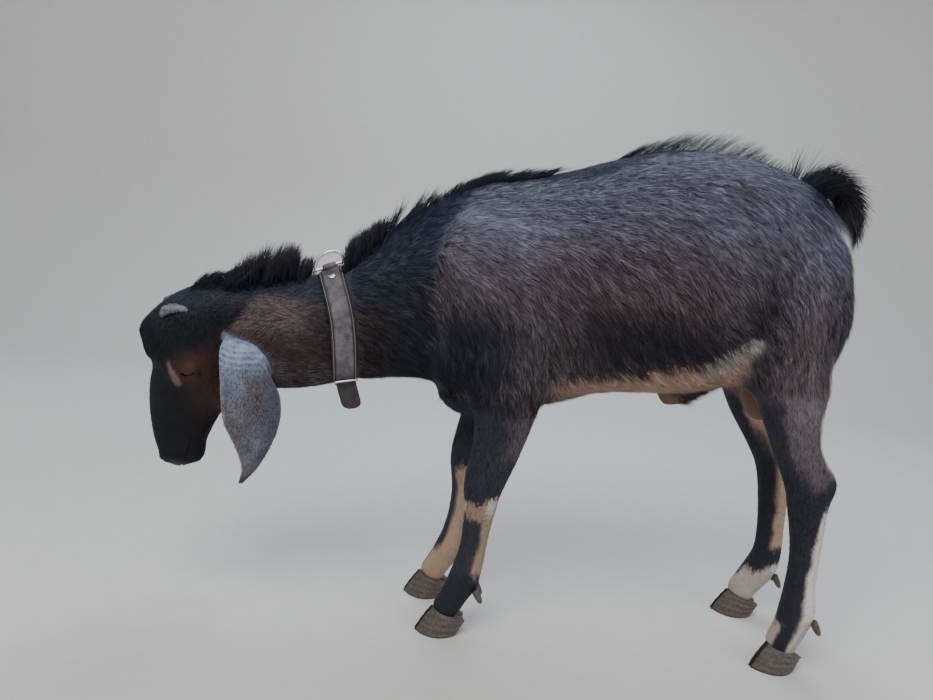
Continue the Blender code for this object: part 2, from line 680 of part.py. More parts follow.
def tube(points, radius, sides=8, closed=False):
    """A bar of round section along the points, or a closed loop of it."""
    bm = bmesh.new()
    points = [Vector(p) for p in points]
    count = len(points)
    middle = sum(points, Vector()) / count
    rings = []
    for i, p in enumerate(points):
        before = points[i - 1] if closed or i else p
        after = points[(i + 1) % count] if closed or i < count - 1 else p
        ahead = (after - before).normalized()
        out = (p - middle) - ahead * (p - middle).dot(ahead)
        out = out.normalized() if out.length > 1e-6 else ahead.orthogonal().normalized()
        side = ahead.cross(out).normalized()
        rings.append([p + (out * math.cos(2 * math.pi * k / sides)
                           + side * math.sin(2 * math.pi * k / sides)) * radius
                      for k in range(sides)])
    if closed:
        rings.append(rings[0])
        made = [[bm.verts.new(p) for p in ring] for ring in rings[:-1]]
        made.append(made[0])
        for a, b in zip(made, made[1:]):
            for k in range(sides):
                bm.faces.new((a[k], a[(k + 1) % sides], b[(k + 1) % sides], b[k]))
    else:
        bridge_rings(bm, rings)
    bmesh.ops.recalc_face_normals(bm, faces=bm.faces)
    return bm


def on_surface(host, start, direction, reach=0.4):
    """The outermost point where a line from the start leaves the host."""
    far = start + direction.normalized() * reach
    hit, place, normal, _ = host.ray_cast(far, -direction.normalized(), distance=reach)
    return place if hit else start


def eye_axes(side):
    """The eye's own axes: along the slit, across it and outwards."""
    look = head_direction(EYE_LOOK[0], EYE_LOOK[1], side * EYE_LOOK[2])
    slit = head_direction(*EYE_SLIT)
    slit = (slit - look * slit.dot(look)).normalized()
    return slit, look.cross(slit).normalized(), look


def axes_place(origin, x, y, z):
    place = Matrix((x, y, z)).transposed().to_4x4()
    place.translation = origin
    return place


def build_eyes(head, goat, tools, paints):
    """An eyeball in its socket behind two lids, which leave a narrow slit."""
    for name, side in (("left", 1), ("right", -1)):
        centre = head_point(EYE[0], EYE[1], side * EYE[2])
        place = axes_place(centre, *eye_axes(side))
        lids, socket, slit, eye = (bmesh.new() for _ in range(4))
        ball(lids, place, (EYE_RADIUS + LID,) * 3, 16, 10)
        ball(socket, place, (EYE_RADIUS + 2 * GAP,) * 3, 14, 8)
        outwards = Matrix.Translation((0, 0, EYE_RADIUS))
        ball(slit, place @ outwards, (SLIT_LENGTH / 2, SLIT_HEIGHT / 2, EYE_RADIUS * 0.7), 12, 6)
        ball(eye, place, (EYE_RADIUS,) * 3, 14, 8)
        fuse_all(head, [add_object("lids", lids, tools)], tools)
        for cutter in (add_object("socket", socket, tools), add_object("slit", slit, tools)):
            combine(head, cutter, "DIFFERENCE")
        add_object("eye_" + name, eye, goat, paints["eye"])


def build_mouth(head, tools):
    """The line of the mouth round the muzzle, and the two nostrils."""
    middle = head_point(MOUTH_CORNER + 0.018, MOUTH_LEVEL, 0)
    points = []
    for k in range(17):
        angle = math.pi * (k / 16 - 0.5) * 1.12
        forward = head_direction(math.cos(angle), MOUTH_RISE * math.cos(angle), math.sin(angle))
        points.append(on_surface(head, middle, forward, 0.08))
    line = add_object("mouth_line", tube(points, MOUTH_RADIUS, 6), tools)
    combine(head, line, "DIFFERENCE")
    for side in (-1, 1):
        bm = bmesh.new()
        u, v, w = NOSTRIL
        place = head_frame() @ Matrix.Translation((v, side * w, u))
        place = place @ Matrix.Rotation(side * math.radians(24), 4, "X") @ Matrix.Rotation(-0.5, 4, "Y")
        ball(bm, place, (NOSTRIL_RADII[1], NOSTRIL_RADII[2], NOSTRIL_RADII[0]), 12, 6)
        bmesh.ops.recalc_face_normals(bm, faces=bm.faces)
        combine(head, add_object("nostril", bm, tools), "DIFFERENCE")
    keep_largest(head)


def build_horns(head, goat, paints):
    """Short horn buds that lie back along the crown."""
    for name, side in (("left", 1), ("right", -1)):
        root = head_point(HORN_ROOT[0], HORN_ROOT[1], side * HORN_ROOT[2])
        tip = head_point(HORN_TIP[0], HORN_TIP[1], side * HORN_TIP[2])
        rise = head_direction(-0.6, 0.8, 0) * 0.006
        rings = []
        for k in range(7):
            t = k / 6
            centre = root.lerp(tip, t) + rise * (1 + math.sin(math.pi * t))
            radius = HORN_RADIUS * (1 - 0.62 * t ** 1.6)
            ahead = (tip - root).normalized()
            across = ahead.cross(rise).normalized()
            up = across.cross(ahead)
            rings.append([centre + (across * math.cos(a) + up * math.sin(a) * 0.8) * radius
                          for a in np.arange(10) * 2 * math.pi / 10])
        bm = bmesh.new()
        bridge_rings(bm, rings)
        bmesh.ops.recalc_face_normals(bm, faces=bm.faces)
        horn = add_object("horn_" + name, bm, goat, paints["bud"])
        seat(horn, head)


def ear_surface(side, t, s, depth):
    """A point of the ear: t from root to tip, s from the front edge (-1) to the back, depth inwards."""
    u, v, w, half, curl, twist, thick = EAR_CURVE[round(t * (len(EAR_CURVE) - 1))]
    radius = half / math.sin(min(curl, math.pi / 2))
    angle = s * curl
    turn = math.radians(twist)
    edge = thick * (0.35 + 0.65 * math.sqrt(max(0.0, 1 - s * s)))
    reach = radius - depth * edge
    back, out = math.sin(angle) * reach, math.cos(angle) * reach - radius
    dv = -(back * math.cos(turn) + out * math.sin(turn))
    dw = out * math.cos(turn) - back * math.sin(turn)
    return head_point(u, v + dv, side * (w + dw))


def build_ears(hosts, goat, paints):
    """Long hanging ears, each a sheet rolled into a cup at its root."""
    across = [math.sin(math.pi / 2 * (k / 3 - 1)) for k in range(7)]
    last = len(EAR_CURVE) - 1
    for name, side in (("left", 1), ("right", -1)):
        rings = []
        for i in range(last + 1):
            outer = [ear_surface(side, i / last, s, 0) for s in across]
            inner = [ear_surface(side, i / last, s, 1) for s in reversed(across)]
            rings.append(outer + inner)
        bm = bmesh.new()
        bridge_rings(bm, rings)
        bmesh.ops.recalc_face_normals(bm, faces=bm.faces)
        ear = add_object("ear_" + name, bm, goat, paints["ear"])
        seat(ear, *hosts)


def build_tail(torso, goat, tools, paints):
    bm = bmesh.new()
    loft(bm, [(*row, 0.0, 2.0) for row in TAIL], 10, 2)
    bmesh.ops.recalc_face_normals(bm, faces=bm.faces)
    tail = add_object("tail", bm, goat, paints["coat"])
    fuse_all(tail, tail_locks(tail, tools), tools)
    seat(tail, torso)


def build_scrotum(hosts, goat, paints):
    x, y, z, a, b, c = SCROTUM
    bm = bmesh.new()
    ball(bm, Matrix.Translation((x, y, z)), (a, b, c), 16, 8)
    scrotum = add_object("scrotum", bm, goat, paints["brown"])
    seat(scrotum, *hosts)


def tip_height(x):
    return float(np.interp(x, [p[0] for p in HAIR_TIPS], [p[1] for p in HAIR_TIPS]))


def ridge(x_low, x_high, host, name, home):
    """The dense foot of the mane: a low ridge part of the way to the tips."""
    rows = []
    for k in range(7):
        x = x_low + (x_high - x_low) * k / 6
        y = midline(x)
        foot = on_surface(host, Vector((x, y, tip_height(x) - 0.10)), UP, 0.2)
        rise = max(0.004, (tip_height(x) - foot.z) * CORE_SHARE * math.sin(math.pi * (0.12 + 0.76 * k / 6)))
        rows.append((x, y, foot.z - 0.004, CORE_HALF, rise + 0.004, 0.010, 0.35, 2.0))
    bm = bmesh.new()
    loft(bm, rows, 10, 1)
    bmesh.ops.recalc_face_normals(bm, faces=bm.faces)
    return add_object(name, bm, home)


def lock(root, way, length, width, bend, flat):
    """A flat tapered lock. It leaves the root along way, bends over and keeps its width along flat."""
    thick = width * LOCK_FLATNESS
    rings = []
    for t, share in LOCK_TAPER:
        t = -ROOT_SINK / length if t == 0 else t
        centre = root + way * (length * t) + bend * (length * max(0, t) ** 2)
        ahead = (way + bend * (2 * max(0, t))).normalized()
        along = (flat - ahead * flat.dot(ahead)).normalized()
        side = ahead.cross(along)
        rings.append([centre + along * (width / 2 * share * a) + side * (thick / 2 * share * b)
                      for a, b in ((-1, 0), (0, -1), (1, 0), (0, 1))])
    piece = bmesh.new()
    bridge_rings(piece, rings)
    bmesh.ops.recalc_face_normals(piece, faces=piece.faces)
    return piece


def crest_locks(stretch, host, chance, home):
    """Rows of upright locks along the host's top line."""
    x_low, x_high, step, rows, spread, width, lean = stretch
    made = []
    for i in range(round((x_high - x_low) / step) + 1):
        for row in range(rows):
            across = (row - (rows - 1) / 2) * spread
            x = x_low + step * (i + 0.5 * (row % 2)) + chance.uniform(-0.3, 0.3) * step
            x = min(max(x, x_low), x_high)
            root = on_surface(host, Vector((x, midline(x) + across, tip_height(x) - 0.10)), UP, 0.2)
            tilt = math.radians(lean + chance.uniform(-9, 9))
            fan = across / spread * 0.30 + chance.uniform(-0.08, 0.08)
            way = Vector((math.sin(tilt), fan, math.cos(tilt))).normalized()
            reach = (tip_height(x + 0.02 * math.tan(tilt)) - root.z) / way.z
            length = max(SHORTEST_LOCK, reach * (1 - 0.22 * abs(across) / spread))
            flat = Vector((1, chance.uniform(-0.35, 0.35), 0)).normalized()
            bend = Vector((chance.uniform(0.02, 0.16), fan * 0.3, -0.03))
            piece = lock(root, way, length * chance.uniform(0.88, 1.04),
                         width * chance.uniform(0.85, 1.15), bend, flat)
            made.append(add_object("lock", piece, home))
    return made


def joined_locks(pieces, name, home):
    """One object of all the locks, fused where they cross."""
    first = pieces[0]
    first.name = name
    fuse_all(first, pieces[1:], home)
    return first


def build_crest(neck, torso, others, tools):
    """The upright hair of the neck and the back, each lock in the node that it grows from."""
    chance = random.Random(7)
    back = [piece for name in BACK for piece in crest_locks(BACK[name], torso, chance, tools)]
    on_back = joined_locks(back, "back_locks", tools)
    clear_of(on_back, neck, bpy.data.objects["tail"])
    fuse_all(torso, [on_back], tools)
    keep_largest(torso)
    mane = []
    for x_low, x_high, *_ in MANE.values():
        mane.append(ridge(x_low, min(x_high, CORE_END), neck, "core", tools))
    for name in MANE:
        mane += crest_locks(MANE[name], neck, chance, tools)
    on_neck = joined_locks(mane, "mane_locks", tools)
    clear_of(on_neck, torso, *others)
    fuse_all(neck, [on_neck], tools)
    keep_largest(neck)


def tail_locks(core, home):
    """Locks that leave the tail's core on its back and sides and lie towards its tip."""
    chance = random.Random(11)
    table = curve_rows(TAIL, 4)
    made = []
    for i in range(TAIL_LOCKS):
        share = 0.16 + 0.80 * i / (TAIL_LOCKS - 1)
        index = round(share * (len(table) - 1))
        here = Vector(table[index][:3])
        after = Vector(table[min(index + 1, len(table) - 1)][:3])
        ahead = (after - Vector(table[index - 1][:3])).normalized()
        around = math.radians((0, 62, -62, 28, -28, 95, -95)[i % 7] + chance.uniform(-12, 12))
        dorsal = ahead.cross(LEFT).normalized()
        dorsal = dorsal if dorsal.dot(Vector((0.7, 0, 0.7))) > 0 else -dorsal
        out = (dorsal * math.cos(around) + LEFT * math.sin(around)).normalized()
        root = on_surface(core, here, out, 0.05)
        way = (out * 0.50 + ahead).normalized()
        flat = ahead.cross(out).normalized()
        piece = lock(root, way, TAIL_LOCK_LENGTH * chance.uniform(0.85, 1.1) * (1 - 0.25 * share),
                     TAIL_LOCK_WIDTH * chance.uniform(0.85, 1.15), ahead * 0.12 - out * 0.10, flat)
        made.append(add_object("tail_lock", piece, home))
    return made


def midline(x):
    """The neck bends to the left: y of its middle at x."""
    table = sorted((row[0], row[1]) for row in NECK)
    return float(np.interp(x, [p[0] for p in table], [p[1] for p in table]))


def dewclaw(name, foot_name, side, lower, goat, paints):
    rows, leg_side, foot, root, *_ = LEGS[foot_name]
    x, z = rows[-3][0], rows[-3][1] - 0.012
    back = rows[-3][4]
    place = Vector((x + back * 0.86, leg_side * foot + side * 0.012, z))
    rings = []
    for t, radius in ((0.0, 0.0062), (0.45, 0.0058), (0.8, 0.0042), (1.0, 0.0016)):
        centre = place + Vector((0.010 * t - 0.004, 0, -0.017 * t + 0.004))
        rings.append([centre + Vector((0.6 * math.cos(a), math.sin(a), 0.5 * math.cos(a))) * radius
                      for a in np.arange(6) * 2 * math.pi / 6])
    bm = bmesh.new()
    bridge_rings(bm, rings)
    bmesh.ops.recalc_face_normals(bm, faces=bm.faces)
    claw = add_object(name, bm, goat, paints["horn"])
    seat(claw, lower)


def collar_axes():
    """The collar's own axes: across the neck to the left, upwards, and towards the head."""
    heading = Vector((-math.cos(COLLAR_TURN), -math.sin(COLLAR_TURN), 0))
    up = Vector((-math.sin(COLLAR_TILT), 0, math.cos(COLLAR_TILT)))
    ahead = (heading - up * heading.dot(up)).normalized()
    return up.cross(ahead).normalized(), up, ahead


def collar_reach(neck, offset):
    """The neck's reach from the collar's middle, round the neck, in a plane moved by the offset."""
    side, up, ahead = collar_axes()
    found = []
    for k in range(COLLAR_STEPS):
        angle = 2 * math.pi * k / COLLAR_STEPS
        start = COLLAR_CENTRE + ahead * (offset - COLLAR_BOW * math.cos(angle) ** 2)
        way = side * math.cos(angle) + up * math.sin(angle)
        found.append((on_surface(neck, start, way, 0.2) - start).length)
    found = np.array(found)
    for _ in range(3):
        found = (np.roll(found, 1) + 2 * found + np.roll(found, -1)) / 4
    return found


def collar_point(reach, angle, height, offset):
    """A point at an angle round the collar, this far out from the neck and towards the head."""
    side, up, ahead = collar_axes()
    share = angle / (2 * math.pi) * COLLAR_STEPS % COLLAR_STEPS
    low = int(share)
    radius = reach[low] + (reach[(low + 1) % COLLAR_STEPS] - reach[low]) * (share - low)
    way = side * math.cos(angle) + up * math.sin(angle)
    bow = COLLAR_BOW * math.cos(angle) ** 2
    return COLLAR_CENTRE + ahead * (offset - bow) + way * (radius + height)


def hoop(reaches, inner, thick, width):
    """A band of rectangular section round the neck. reaches holds its reach at both edges."""
    bm = bmesh.new()
    rings = []
    for k in range(COLLAR_STEPS):
        angle = 2 * math.pi * k / COLLAR_STEPS
        rings.append([bm.verts.new(collar_point(reaches[edge], angle, height, edge * width / 2))
                      for edge, height in ((-1, inner), (1, inner), (1, inner + thick),
                                           (-1, inner + thick))])
    rings.append(rings[0])
    for a, b in zip(rings, rings[1:]):
        for k in range(4):
            bm.faces.new((a[k], a[(k + 1) % 4], b[(k + 1) % 4], b[k]))
    bmesh.ops.recalc_face_normals(bm, faces=bm.faces)
    return bm


def build_collar(neck, goat, tools, paints):
    """A lined strap with a ring, a rivet, a buckle and its loose end."""
    side, up, ahead = collar_axes()
    edge = {-1: collar_reach(neck, -BAND_WIDTH / 2), 1: collar_reach(neck, BAND_WIDTH / 2)}
    reach = (edge[-1] + edge[1]) / 2
    add_object("collar_band", hoop(edge, BAND_SINK, BAND_THICK, BAND_WIDTH), goat,
               paints["dark_leather"])
    room = hoop(edge, BAND_SINK, COLLAR_ROOM, BAND_WIDTH)
    seat(neck, add_object("collar_room", room, tools))
    strap_height = BAND_SINK + BAND_THICK + GAP
    inner_edge = {sign: reach + (edge[sign] - reach) * STRAP_WIDTH / BAND_WIDTH for sign in (-1, 1)}
    strap = add_object("collar_strap", hoop(inner_edge, strap_height, STRAP_THICK, STRAP_WIDTH), goat,
                       paints["leather"])
    outside = strap_height + STRAP_THICK

    def across(angle):
        """Along the strap's width, on the slope that the neck has there."""
        low = collar_point(edge[-1], angle, 0, -BAND_WIDTH / 2)
        return (collar_point(edge[1], angle, 0, BAND_WIDTH / 2) - low).normalized()

    build_ring(strap, reach, outside, across(RING_ANGLE), goat, tools, paints)
    stud = collar_point(reach, RIVET_ANGLE, outside + GAP, 0)
    way = (stud - COLLAR_CENTRE).normalized()
    bm = bmesh.new()
    turn = way.to_track_quat("Z", "Y").to_matrix().to_4x4()
    bmesh.ops.create_cone(bm, cap_ends=True, segments=16, radius1=0.0045, radius2=0.0026, depth=0.002,
                          matrix=Matrix.Translation(stud + way * 0.001) @ turn)
    rivet = add_object("collar_rivet", bm, goat, paints["steel"])
    seat(rivet, strap)
    build_buckle(strap, reach, outside, across(BUCKLE_ANGLE), goat, paints)


def build_ring(strap, reach, outside, ahead, goat, tools, paints):
    """A D-shaped ring that stands up from a fold of the strap."""
    seat_radius = RING_WIRE + 0.0004
    bar = collar_point(reach, RING_ANGLE, outside + seat_radius + 0.0006, 0)
    rise = (collar_axes()[1] + collar_axes()[0] * 0.25).normalized()
    path = []
    for k in range(16):
        angle = math.pi * k / 15
        path.append(bar + ahead * (RING_WIDTH / 2 * math.cos(angle)) + rise
                    * (RING_HEIGHT * math.sin(angle) ** 0.8))
    path += [bar - ahead * (RING_WIDTH / 2 * (1 - 2 * k / 5)) for k in range(1, 5)]
    add_object("collar_ring", tube(path, RING_WIRE, 6, closed=True), goat, paints["steel"])
    half = STRAP_WIDTH * 0.40
    fold = add_object("fold", tube([bar - ahead * half, bar, bar + ahead * half],
                                   seat_radius + 0.0018, 12), tools)
    fuse_all(strap, [fold], tools)
    room = add_object("room", tube([bar - ahead * 0.03, bar, bar + ahead * 0.03], seat_radius, 12),
                      tools)
    combine(strap, room, "DIFFERENCE")
    seat(strap, bpy.data.objects["collar_band"])


def build_buckle(strap, reach, outside, ahead, goat, paints):
    """A wire buckle under the neck, with the strap's dark end hanging through it."""
    lift = outside + BUCKLE_WIRE + GAP + 0.0006
    centre = collar_point(reach, BUCKLE_ANGLE, lift, 0)
    out = (centre - COLLAR_CENTRE).normalized()
    along = ahead.cross(out).normalized()
    length, width = BUCKLE_SIZE
    corners = []
    for k in range(20):
        angle = 2 * math.pi * k / 20
        corners.append(centre + ahead * signed_power(math.cos(angle), 0.3) * length / 2
                       + along * signed_power(math.sin(angle), 0.3) * width / 2)
    buckle = add_object("collar_buckle", tube(corners, BUCKLE_WIRE, 6, closed=True), goat,
                        paints["steel"])
    seat(buckle, strap)
    down = Vector((0.36, -0.10, -1.0)).normalized()
    top = collar_point(reach, BUCKLE_ANGLE, outside + GAP, 0)
    face = ahead.cross(down).normalized()
    rings = []
    for t, share in ((-0.12, 1.0), (0.35, 1.0), (0.78, 1.0), (0.90, 0.88), (0.97, 0.62), (1.0, 0.34)):
        middle = top + down * END_LENGTH * t
        half = END_WIDTH / 2 * share
        rings.append([middle + ahead * (half * a) + face * (END_THICK / 2 * b)
                      for a, b in ((-1, -1), (1, -1), (1, 1), (-1, 1))])
    bm = bmesh.new()
    bridge_rings(bm, rings)
    bmesh.ops.recalc_face_normals(bm, faces=bm.faces)
    end = add_object("collar_end", bm, goat, paints["dark_leather"])
    seat(end, strap, buckle, bpy.data.objects["collar_band"])


def stand_on_origin(goat):
    """Moves all pieces so that the origin is on the floor, below the middle of the whole goat."""
    points = np.array([v.co for piece in goat.objects for v in piece.data.vertices])
    low, high = points.min(0), points.max(0)
    for piece in goat.objects:
        piece.location = (-(low[0] + high[0]) / 2, -(low[1] + high[1]) / 2, -low[2])


EAR_CURVE = curve_rows(EAR, 2)
COLLAR_NODES = ("collar_band", "collar_strap", "collar_ring", "collar_rivet")


def main():
    clear_scene()
    goat = collection("nubian_goat")
    tools = collection("cutters", hidden=True)
    paints = {
        "coat": material("dark_coat", (0.035, 0.028, 0.028), 0.75),
        "brown": material("brown_skin", (0.16, 0.10, 0.07), 0.7),
        "ear": material("roan_ear", (0.42, 0.40, 0.40), 0.75),
        "eye": material("dark_eye", (0.03, 0.02, 0.015), 0.1),
        "bud": material("horn_bud", (0.35, 0.33, 0.31), 0.6),
        "horn": material("hoof_horn", (0.10, 0.085, 0.075), 0.5),
        "dark_leather": material("dark_leather", (0.035, 0.025, 0.022), 0.6),
        "leather": material("worn_leather", (0.16, 0.13, 0.12), 0.6),
        "steel": material("bright_steel", (0.72, 0.72, 0.73), 0.25, 1.0),
    }
    flesh = build_flesh(tools)
    nodes = part_flesh(flesh, goat, tools, paints)
    build_feet(nodes, goat, tools, paints)
    for name in LEGS:
        for claw, side in (("left", -1), ("right", 1)):
            dewclaw(f"dewclaw_{name}_{claw}", name, side, nodes[f"leg_{name}_lower"], goat, paints)
    head, neck, torso = nodes["head"], nodes["neck"], nodes["torso"]
    build_horns(head, goat, paints)
    build_ears((head, neck), goat, paints)
    build_eyes(head, goat, tools, paints)
    build_mouth(head, tools)
    build_tail(torso, goat, tools, paints)
    build_scrotum((torso, nodes["leg_hind_left_upper"], nodes["leg_hind_right_upper"]), goat, paints)
    build_collar(neck, goat, tools, paints)
    build_crest(neck, torso, [head] + [bpy.data.objects[name] for name in COLLAR_NODES], tools)
    stand_on_origin(goat)


main()
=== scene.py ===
"""Looks of a young Nubian buck: skin, coat, crest, eyes, horn buds, claws and collar.

Units are metres with +Z up. The goat looks along -X, and its left side is at -Y.
"""

import math
import random

import bmesh
import bpy
import numpy as np
from bpy.props import FloatProperty, FloatVectorProperty, IntProperty, PointerProperty
from mathutils import Matrix, Vector
from mathutils.bvhtree import BVHTree


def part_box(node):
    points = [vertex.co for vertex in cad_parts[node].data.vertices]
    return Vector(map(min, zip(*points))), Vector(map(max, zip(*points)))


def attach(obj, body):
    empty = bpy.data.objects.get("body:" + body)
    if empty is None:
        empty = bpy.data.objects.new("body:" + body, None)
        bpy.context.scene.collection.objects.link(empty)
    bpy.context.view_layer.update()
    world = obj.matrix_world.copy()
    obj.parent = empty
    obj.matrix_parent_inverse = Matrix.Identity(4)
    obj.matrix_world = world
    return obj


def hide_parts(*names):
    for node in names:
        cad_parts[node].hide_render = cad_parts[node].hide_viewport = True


bl_info = {
    "name": "Nubian goat",
    "version": (1, 0, 0),
    "blender": (4, 5, 0),
    "location": "View3D > Sidebar > Goat",
    "description": "Builds the looks of a life-size Nubian goat",
    "category": "Object",
}

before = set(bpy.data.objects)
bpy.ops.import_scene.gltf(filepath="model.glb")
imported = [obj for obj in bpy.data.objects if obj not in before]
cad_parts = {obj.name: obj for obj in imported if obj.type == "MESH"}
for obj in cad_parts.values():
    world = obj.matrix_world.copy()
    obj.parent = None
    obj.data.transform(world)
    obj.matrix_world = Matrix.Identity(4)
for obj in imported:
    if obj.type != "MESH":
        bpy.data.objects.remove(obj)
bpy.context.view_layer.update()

# The goat's shape, in the same named sizes as its solids
VOXEL, FINE_VOXEL = 0.0045, 0.0030
BODY_SMOOTHING, HEAD_SMOOTHING, FINE_SMOOTHING = 26, 5, 4
LEFT = Vector((0, -1, 0))
UP = Vector((0, 0, 1))
SIDES = ((1, "left"), (-1, "right"))

# The trunk from the rump to the chest: x, y, z, half width, up, down, pear, squareness
TRUNK = (
    (0.471, 0, 0.500, 0.026, 0.024, 0.036, 0.10, 2.0),
    (0.459, 0, 0.505, 0.047, 0.050, 0.080, 0.12, 2.1),
    (0.438, 0, 0.512, 0.067, 0.080, 0.114, 0.14, 2.2),
    (0.410, 0, 0.515, 0.087, 0.113, 0.128, 0.15, 2.2),
    (0.370, 0, 0.510, 0.102, 0.141, 0.140, 0.15, 2.2),
    (0.320, 0, 0.500, 0.110, 0.156, 0.147, 0.14, 2.2),
    (0.260, 0, 0.490, 0.117, 0.164, 0.152, 0.14, 2.2),
    (0.200, 0, 0.480, 0.116, 0.158, 0.146, 0.16, 2.2),
    (0.140, 0, 0.468, 0.108, 0.149, 0.142, 0.18, 2.2),
    (0.080, 0, 0.455, 0.098, 0.146, 0.152, 0.20, 2.1),
    (0.030, 0, 0.445, 0.086, 0.148, 0.158, 0.20, 2.0),
    (-0.010, 0, 0.430, 0.074, 0.136, 0.142, 0.12, 2.0),
    (-0.040, 0, 0.410, 0.052, 0.100, 0.100, 0.05, 2.0),
    (-0.056, 0, 0.400, 0.024, 0.050, 0.050, 0.0, 2.0),
)

# The neck from inside the shoulders to the back of the skull, in the same columns
NECK = (
    (0.060, 0.000, 0.460, 0.070, 0.120, 0.110, 0.15, 2.0),
    (0.005, 0.000, 0.448, 0.074, 0.132, 0.126, 0.15, 2.0),
    (-0.045, -0.004, 0.434, 0.069, 0.117, 0.116, 0.12, 2.0),
    (-0.090, -0.010, 0.418, 0.062, 0.098, 0.098, 0.08, 2.0),
    (-0.130, -0.017, 0.401, 0.056, 0.083, 0.081, 0.05, 2.0),
    (-0.170, -0.026, 0.388, 0.052, 0.073, 0.073, 0.02, 2.0),
    (-0.215, -0.037, 0.380, 0.051, 0.071, 0.076, 0.0, 2.0),
    (-0.260, -0.050, 0.376, 0.050, 0.066, 0.074, 0.0, 2.0),
    (-0.300, -0.064, 0.374, 0.046, 0.058, 0.064, 0.0, 2.0),
)

# The head has its own axes: u from the poll to the nose, v to the brow and w to the left
POLL = Vector((-0.322, -0.062, 0.424))
NOSE_FORWARD = math.radians(9)
HEAD_TURN = math.radians(22)
HEAD_LEAN = math.radians(8)
# Stations along u: u, v, half width, towards the brow, towards the jaw, pear, squareness
SKULL = (
    (-0.016, -0.030, 0.022, 0.020, 0.020, 0.0, 2.0),
    (-0.006, -0.022, 0.038, 0.034, 0.034, 0.0, 2.0),
    (0.014, -0.014, 0.047, 0.055, 0.050, 0.0, 2.0),
    (0.040, -0.008, 0.051, 0.070, 0.058, 0.0, 2.1),
    (0.066, -0.006, 0.052, 0.079, 0.060, 0.0, 2.2),
    (0.088, -0.006, 0.050, 0.066, 0.060, 0.0, 2.2),
    (0.108, -0.007, 0.045, 0.057, 0.058, 0.0, 2.2),
    (0.132, -0.004, 0.037, 0.053, 0.052, -0.05, 2.2),
    (0.158, 0.000, 0.031, 0.045, 0.045, -0.05, 2.2),
    (0.184, 0.002, 0.028, 0.036, 0.040, -0.02, 2.3),
    (0.208, 0.000, 0.028, 0.029, 0.033, 0.0, 2.4),
    (0.226, -0.003, 0.024, 0.021, 0.024, 0.0, 2.3),
    (0.238, -0.005, 0.013, 0.010, 0.011, 0.0, 2.0),
)
# Muscle, bone and lips: u, v, w, three radii
HEAD_MASSES = {
    "orbit": (0.090, 0.012, 0.037, 0.028, 0.024, 0.019),
    "cheek": (0.100, -0.036, 0.022, 0.042, 0.034, 0.022),
    "jaw_angle": (0.086, -0.050, 0.016, 0.034, 0.024, 0.020),
    "upper_lip": (0.214, 0.004, 0.013, 0.018, 0.019, 0.017),
    "chin": (0.212, -0.024, 0.007, 0.020, 0.013, 0.015),
    "brow": (0.070, 0.040, 0.022, 0.030, 0.026, 0.024),
    "nose_wing": (0.222, 0.012, 0.015, 0.011, 0.010, 0.010),
    "ear_base": (0.046, -0.042, 0.036, 0.024, 0.026, 0.018),
}
EYE = (0.093, 0.006, 0.0425)
EYE_RADIUS, EYE_FIT = 0.0122, 0.985      # the globe is a little smaller than its socket
EYE_LOOK = (0.16, 0.24, 1.0)
EYE_SLIT = (0.35, 0.94, 0.0)
SLIT_LENGTH, SLIT_HEIGHT = 0.0165, 0.0050
LID = 0.0026
LASHES = 46
SUNNED = (0.050, 0.036, 0.028)      # the tips of the tail's hairs
MOUTH_CORNER, MOUTH_LEVEL, MOUTH_RISE = 0.176, -0.0135, 0.10
MOUTH_RADIUS = 0.0013
NOSTRIL = (0.226, 0.0135, 0.0145)
NOSTRIL_RADII = (0.0062, 0.0028, 0.0060)
NOSTRIL_TURN, NOSTRIL_LEAN = math.radians(24), -0.5
HORN_ROOT, HORN_TIP = (0.034, 0.048, 0.024), (0.022, 0.018, 0.036)
HORN_RADIUS = 0.0085
# The ear hangs from root to tip: u, v, w, half width, curl, twist in degrees, thickness
EAR = (
    (0.030, -0.0470, 0.0360, 0.0200, 1.10, 8, 0.0060),
    (0.042, -0.0470, 0.0620, 0.0235, 0.85, 2, 0.0064),
    (0.056, -0.0465, 0.0745, 0.0260, 0.75, 2, 0.0062),
    (0.075, -0.0545, 0.0790, 0.0300, 0.65, 6, 0.0056),
    (0.096, -0.0660, 0.0795, 0.0360, 0.65, 9, 0.0052),
    (0.118, -0.0735, 0.0785, 0.0380, 0.65, 11, 0.0048),
    (0.143, -0.0790, 0.0775, 0.0350, 0.65, 12, 0.0044),
    (0.170, -0.0850, 0.0755, 0.0230, 0.65, 12, 0.0038),
    (0.198, -0.0860, 0.0740, 0.0100, 0.60, 10, 0.0033),
    (0.219, -0.0795, 0.0730, 0.0028, 0.50, 8, 0.0028),
)
TAIL = (
    (0.392, 0, 0.592, 0.012, 0.012, 0.012),
    (0.412, 0, 0.616, 0.012, 0.012, 0.013),
    (0.437, 0, 0.630, 0.011, 0.011, 0.013),
    (0.460, 0, 0.625, 0.010, 0.010, 0.012),
    (0.476, 0, 0.605, 0.009, 0.009, 0.011),
    (0.481, 0, 0.582, 0.007, 0.007, 0.009),
    (0.480, 0, 0.566, 0.004, 0.004, 0.005),
)
SCROTUM = (0.400, 0.0, 0.346, 0.026, 0.0235, 0.036)
SHEATH = (
    (0.352, 0, 0.374, 0.015, 0.015, 0.015, 0, 2),
    (0.322, 0, 0.362, 0.019, 0.018, 0.019, 0, 2),
    (0.300, 0, 0.350, 0.021, 0.019, 0.021, 0, 2),
    (0.283, 0, 0.339, 0.020, 0.018, 0.020, 0, 2),
    (0.271, 0, 0.330, 0.015, 0.013, 0.014, 0, 2),
    (0.265, 0, 0.325, 0.009, 0.007, 0.008, 0, 2),
)
